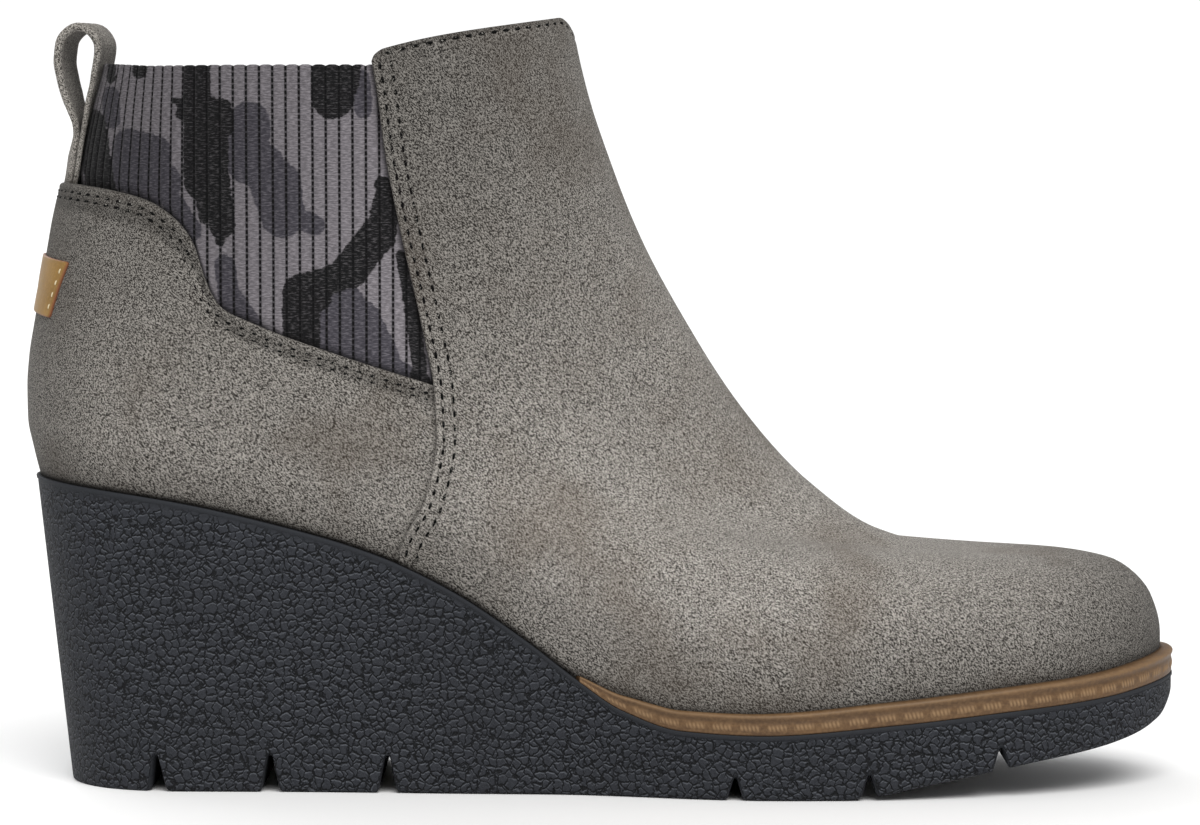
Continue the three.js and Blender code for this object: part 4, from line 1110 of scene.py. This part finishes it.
# Pull loop: one strap folded over, its two ends sewn flat to the gore.
loop = {
    "rise": 1.37, "foot": 0.638, "width": 15.6, "edge": 0.8, "turn": 0.13, "forward": 1.9, "steps": 150,
    "tone": 0.8,
    # height above the counter's edge and distance from the gore in shares of the loop's height, thickness in mm
    "path": [(-0.05, -0.06, 1.3), (0.15, -0.063, 1.3), (0.27, -0.063, 1.35), (0.36, -0.082, 1.45),
             (0.45, -0.133, 1.6), (0.54, -0.19, 1.7), (0.65, -0.25, 1.75), (0.77, -0.294, 1.8),
             (0.87, -0.297, 1.85), (0.935, -0.26, 1.9), (0.967, -0.2, 1.95), (0.957, -0.145, 1.9),
             (0.91, -0.088, 1.85), (0.85, -0.055, 1.75), (0.78, -0.05, 1.6), (0.7, -0.05, 1.45),
             (0.6, -0.04, 1.3), (0.5, -0.038, 1.25), (0.4, -0.03, 1.25), (0.25, -0.027, 1.25),
             (-0.05, -0.027, 1.25)],
}
backLevels = np.linspace(8, 13, 60)
backLine = surface(np.zeros(60), backLevels, -1.2)
goreBack = lambda z: np.interp(z, backLine[:, 2], backLine[:, 0])


# Strap swept along its path: a flat section with round edges, standing across the path's normal.
def makeLoop():
    foot = float(upHeight(loop["foot"]))
    height = (form["goreTop"] - foot) * loop["rise"]
    ups, offs, thick = (np.array(v, float) for v in zip(*loop["path"]))
    knots = np.concatenate([[0], np.cumsum(np.hypot(np.diff(ups), np.diff(offs)))])
    t = np.linspace(0, knots[-1], loop["steps"])
    up, off, thickness = (through(knots, v, t) for v in (ups, offs, thick))
    for step in range(3):
        up[1:-1] = (up[:-2] + 2 * up[1:-1] + up[2:]) / 4
        off[1:-1] = (off[:-2] + 2 * off[1:-1] + off[2:]) / 4
    z = foot + up * height
    x = goreBack(z) + off * height
    run = np.stack([np.gradient(x), np.gradient(z)], -1)
    run = run / np.linalg.norm(run, axis=1, keepdims=True)
    normal = np.stack([-run[:, 1], run[:, 0]], -1)
    # section: flat faces with half round edges, a shallow seam groove along both sides of each face
    wide = loop["width"] / 2 - loop["edge"]
    edge = np.linspace(-math.pi / 2, math.pi / 2, 9)
    flat = np.linspace(-1, 1, 13)[1:-1]
    face = 1 - 0.16 * np.exp(-((np.abs(flat) - 0.72) / 0.1) ** 2)
    sectionY = np.concatenate([wide + loop["edge"] * np.cos(edge), -wide * flat,
                               -wide - loop["edge"] * np.cos(edge), wide * flat])
    sectionT = np.concatenate([np.sin(edge), face, -np.sin(edge), -face])
    half = thickness[:, None] / 2
    px = x[:, None] + normal[:, :1] * sectionT * half
    pz = z[:, None] + normal[:, 1:] * sectionT * half
    py = np.broadcast_to(sectionY, px.shape)
    free = np.clip(((pz - foot) / height - 0.17) * 2.5, 0, 1)
    px = px + (1 - free) * py ** 2 / (loop["width"] * 3) + (loop["turn"] * py + loop["forward"]) * free
    ring = np.stack([px, py, pz], -1)
    rows, columns = ring.shape[:2]
    # the caps run between the two flat faces
    k = np.arange(columns // 2 - 1)
    order = (np.arange(columns) - 4) % columns
    cap = np.stack([order[k], order[k + 1], order[columns - 2 - k], order[columns - 1 - k]], -1)
    quads = [gridQuads(rows, columns, roundColumns=True), cap, cap[:, ::-1] + (rows - 1) * columns]
    # Painted shade: darker at the strap's feet by the counter's edge and along the seam grooves of both faces; a
    # darker band also crosses the strap a third of the way up.
    shade = 0.55 * np.clip(1 - (pz - foot) / 3.0, 0, 1)
    shade = shade + 0.3 * np.exp(-((np.abs(sectionY) - wide * 0.72) / 0.5) ** 2)
    shade = shade + 0.25 * np.clip(1 - np.abs(up[:, None] - 0.33) / 0.06, 0, 1)
    makePiece("loopStrap", ring, np.concatenate(quads), greySuede, ["pull_loop"],
              marks={"shade": np.clip(shade, 0, 0.8), "tone": np.full(shade.shape, loop["tone"])})


makeLoop()


# Heel tab: a bare leather patch on the counter, standing proud, with raw edges.
tab = {
    "width": 35.3, "flare": 0.045, "height": 12.4, "up": 0.4215, "proud": 0.62, "sunk": -0.25, "corner": 0.6,
    "sag": 1.3, "rows": 26, "columns": 60, "edgeRadius": 0.3, "stitchIn": 1.15,
    "colour": tint(142, 110, 58), "low": tint(124, 94, 46), "high": tint(170, 138, 84), "raw": tint(122, 78, 54),
}


def tabMaterial():
    material, tree, shader = newMaterial("tanLeather", 0.5, 0.15)
    cloud = grainNoise(tree, 0.005, 3.0, 0.55)
    grain = grainNoise(tree, 0.00055, 2.5, 0.6)
    colour = mixColour(tree, spread(tree, cloud, 0.3, 0.7), tab["colour"], tab["low"])
    colour = mixColour(tree, spread(tree, grain, 0.45, 0.75, 0.0, 0.35), colour, tab["high"])
    colour = mixColour(tree, mark(tree, "raw"), colour, tab["raw"])
    tree.links.new(colour, shader.inputs["Base Color"])
    tree.links.new(spread(tree, grain, 0.3, 0.7, 0.34, 0.5), shader.inputs["Roughness"])
    bumped(tree, shader, grain, 0.5, 0.0001)
    return material


# Angle round the back where the counter's surface at a height stands at a given distance to the side:
# read from a table of distances by height and angle, straight between its rows.
def counterAt(y, z, offset):
    sweep = np.linspace(0, 1.25, 140)
    heights = np.linspace(z.min() - 0.1, z.max() + 0.1, 12)
    turn, height = np.meshgrid(sweep, heights)
    point = surface(turn, levelOnLine(turn, lambda x: height, counterOffset), offset + heelSwell(turn, 8.5))
    rows = np.stack([np.interp(np.abs(y), side, sweep) for side in np.abs(point[..., 1])])
    share = (z - heights[0]) / (heights[1] - heights[0])
    row = share.astype(int)
    pick = lambda i: np.take_along_axis(rows, i[None], 0)[0]
    angle = pick(row) * (1 - share + row) + pick(row + 1) * (share - row)
    level = levelOnLine(angle, lambda x: z, counterOffset)
    return np.where(y <= 0, angle, -angle), level


# Tab: a rectangle of width and height laid on the counter, wider toward the top by the flare and hanging at its
# ends by the sag; the outer face stands proud and rolls off at the edges, with a low groove under the threads.
def makeTab():
    v = np.concatenate([[0, 0.008, 0.03, 0.07], np.linspace(0.12, 0.88, tab["rows"]), [0.93, 0.97, 0.992, 1]])
    u = np.concatenate([[0, 0.003, 0.012, 0.028], np.linspace(0.05, 0.95, tab["columns"]),
                        [0.972, 0.988, 0.997, 1]])
    y, rise = np.meshgrid(tab["width"] * (u - 0.5), tab["height"] * (v - 0.5))
    fromEnd = tab["height"] / 2 - np.abs(rise)
    edge = np.minimum(fromEnd, tab["width"] / 2 - np.abs(y))
    intoCorner = np.maximum(0, tab["corner"] - fromEnd)
    drawn = tab["corner"] - np.sqrt(np.maximum(0, tab["corner"] ** 2 - intoCorner ** 2))
    y = y * (1 - drawn / (tab["width"] / 2)) * (1 + 2 * tab["flare"] * rise / tab["height"])
    z = float(upHeight(tab["up"])) + rise - tab["sag"] * np.abs(2 * y / tab["width"]) ** 1.5
    angle, level = counterAt(y, z, counter["offset"])
    seat = counterOffset(angle, level)
    outer = seat + tab["proud"] - edgeDrop(edge, tab["edgeRadius"])
    outer = outer - 0.1 * np.exp(-((edge - tab["stitchIn"]) / 0.4) ** 2) * (fromEnd > edge)
    raw = np.clip(1 - edge / tab["edgeRadius"], 0, 1)
    points = np.stack([surface(angle, level, outer), surface(angle, level, seat + tab["sunk"])])
    makePiece("tabPatch", points, shellQuads(*angle.shape), tabMaterial(), ["heel_tab"],
              marks={"raw": np.stack([raw, np.ones_like(raw)])})


makeTab()


# Stitches: short sunk threads along the seams.
thread = {
    "length": 1.75, "width": 0.58, "height": 0.38, "pitch": 3.0, "around": 6, "along": 6, "counterTurn": 0.12,
    # the light colour and tabHigh are painted highlights on the threads
    "tabSize": 0.8, "dark": tint(6, 6, 6), "light": tint(160, 157, 150), "tabThread": tint(205, 192, 160),
    "tabHigh": tint(240, 232, 210),
}


def threadMaterial(name, first, second):
    material, tree, shader = newMaterial(name, 0.8, 0.08)
    twistAndGlint = grainNoise(tree, 0.0004, 1.5)
    # Painted highlights: pale flecks on the thread where the noise is high; the same noise gives the thread's
    # twist bump.
    colour = mixColour(tree, spread(tree, twistAndGlint, 0.6, 0.72, 0.0, 0.8), first, second)
    tree.links.new(colour, shader.inputs["Base Color"])
    bumped(tree, shader, twistAndGlint, 0.5, 0.0001)
    return material


# Threads at even steps along a line on the surface: a round section that narrows and dips at both ends.
def makeStitches(name, lines, material, turn=0.0, sink=0.04, size=1.0):
    u = np.linspace(-1, 1, thread["along"] + 1)[:, None]
    a = np.linspace(0, 2 * math.pi, thread["around"] + 1)[None, :-1]
    body = np.sqrt(np.maximum(0.0, 1 - np.abs(u) ** 3.2)) + 0.02
    shapeAcross = body * np.cos(a) * thread["width"] / 2 * size
    shapeOut = body * np.sin(a) * thread["height"] / 2 * size + thread["height"] * 0.42 * (1 - u ** 2) - 0.1
    shapeAlong = u * thread["length"] / 2 * size + 0 * a
    points, quads, start = [], [], 0
    for place, normal in lines:
        place, normal = np.asarray(place), np.asarray(normal)
        run = np.concatenate([[0], np.cumsum(np.linalg.norm(np.diff(place, axis=0), axis=1))])
        count = max(1, int(run[-1] / (thread["pitch"] * size)))
        at = (np.arange(count) + 0.5) * run[-1] / count
        spot, up, before, after = (np.stack([np.interp(at + d, run, source[:, k]) for k in range(3)], -1)
                                   for source, d in ((place, 0), (normal, 0), (place, -0.5), (place, 0.5)))
        up = up / np.linalg.norm(up, axis=1, keepdims=True)
        along = (after - before) / np.linalg.norm(after - before, axis=1, keepdims=True)
        across = np.cross(up, along)
        along = along * math.cos(turn) + across * math.sin(turn)
        across = np.cross(up, along)
        made = (spot[:, None, None] + along[:, None, None] * shapeAlong[None, ..., None]
                + across[:, None, None] * shapeAcross[None, ..., None]
                + up[:, None, None] * (shapeOut[None, ..., None] - sink))
        rows, columns = shapeAlong.shape
        one = gridQuads(rows, columns, roundColumns=True)
        ring = np.arange(columns)
        caps = np.array([(ring[0], ring[1], ring[2], ring[3]), (ring[0], ring[3], ring[4], ring[5])])
        one = np.concatenate([one, caps[:, ::-1], caps + (rows - 1) * columns])
        points.append(made.reshape(-1, 3))
        quads.append((one[None] + (start + np.arange(count) * rows * columns)[:, None, None]).reshape(-1, 4))
        start += count * rows * columns
    makePiece(name, np.concatenate(points), np.concatenate(quads), material, None)


# A line on the side given by x and z in mm, lifted to the surface with its normals; the far side is its twin.
def sideLine(x, z, offset):
    angle, level = onSide(x, z)
    near = surface(angle, level, offset), formNormal(angle, level)
    far = surface(2 * math.pi - angle, level, offset), formNormal(2 * math.pi - angle, level)
    return [near, far]


# A seam line moved sideways: its points plus the shift times the direction turned by a quarter.
def movedLine(line, shift):
    run = np.gradient(line, axis=0)
    run = run / np.linalg.norm(run, axis=1, keepdims=True)
    return line[:, 0] + shift * run[:, 1], line[:, 1] - shift * run[:, 0]


# Level below the counter's edge by a true distance: the drop down a column is stretched where the edge slopes.
def levelOnSlope(angle, level, row):
    for step in range(5):
        point = surface(angle, level, counterOffset(angle, level))
        gap = seamDistance(point[..., 0], point[..., 2], counterLine)[0]
        level = level + (gap - row) * 0.8 / np.interp(fold(angle), halfTurn, counterEdges[2])
    return level


def vampLines():
    lines = []
    for row in vamp["stitchRows"]:
        x, z = movedLine(vampLine, row)
        keep = (z > topHeight(x) + 1.6) & (z < collarHeight(x) - 1.7)
        lines += sideLine(x[keep], z[keep], -0.12)
    x = np.linspace(form["vampEdge"][-1][0] * length + 2.2, 0.4722 * length, 160)
    return lines + sideLine(x, collarHeight(x) - vamp["collarRow"], -0.1)


def counterLines():
    lines = []
    frontX = 0.3545 * length  # where the rows run under the vamp
    for row in counter["stitchRows"]:
        end = onSide(np.array([frontX - 0.4]), counterHeight(frontX) - row)[0][0]
        angle = end * np.linspace(-1, 1, 420)
        top, step = (np.interp(fold(angle), halfTurn, v) for v in counterEdges[1:])
        level = levelOnSlope(angle, top - row / step, row)
        lines.append((surface(angle, level, counterOffset(angle, level) - 0.12), formNormal(angle, level)))
    return lines


def tabLines():
    lines = []
    rise = np.linspace(-tab["height"] / 2 + 1.0, tab["height"] / 2 - 1.0, 24)
    for side in (-1, 1):
        y = side * (tab["width"] / 2 - tab["stitchIn"]) * (1 + 2 * tab["flare"] * rise / tab["height"])
        z = float(upHeight(tab["up"])) + rise - tab["sag"] * np.abs(2 * y / tab["width"]) ** 1.5
        angle, level = counterAt(y, z, counter["offset"])
        seat = counterOffset(angle, level) + tab["proud"] - 0.06
        lines.append((surface(angle, level, seat), formNormal(angle, level)))
    return lines


greyThread = threadMaterial("greyThread", thread["dark"], thread["light"])
paleThread = threadMaterial("paleThread", thread["tabThread"], thread["tabHigh"])
makeStitches("vampStitches", vampLines(), greyThread)
makeStitches("counterStitches", counterLines(), greyThread, turn=thread["counterTurn"])
makeStitches("tabStitches", tabLines(), paleThread, size=thread["tabSize"])
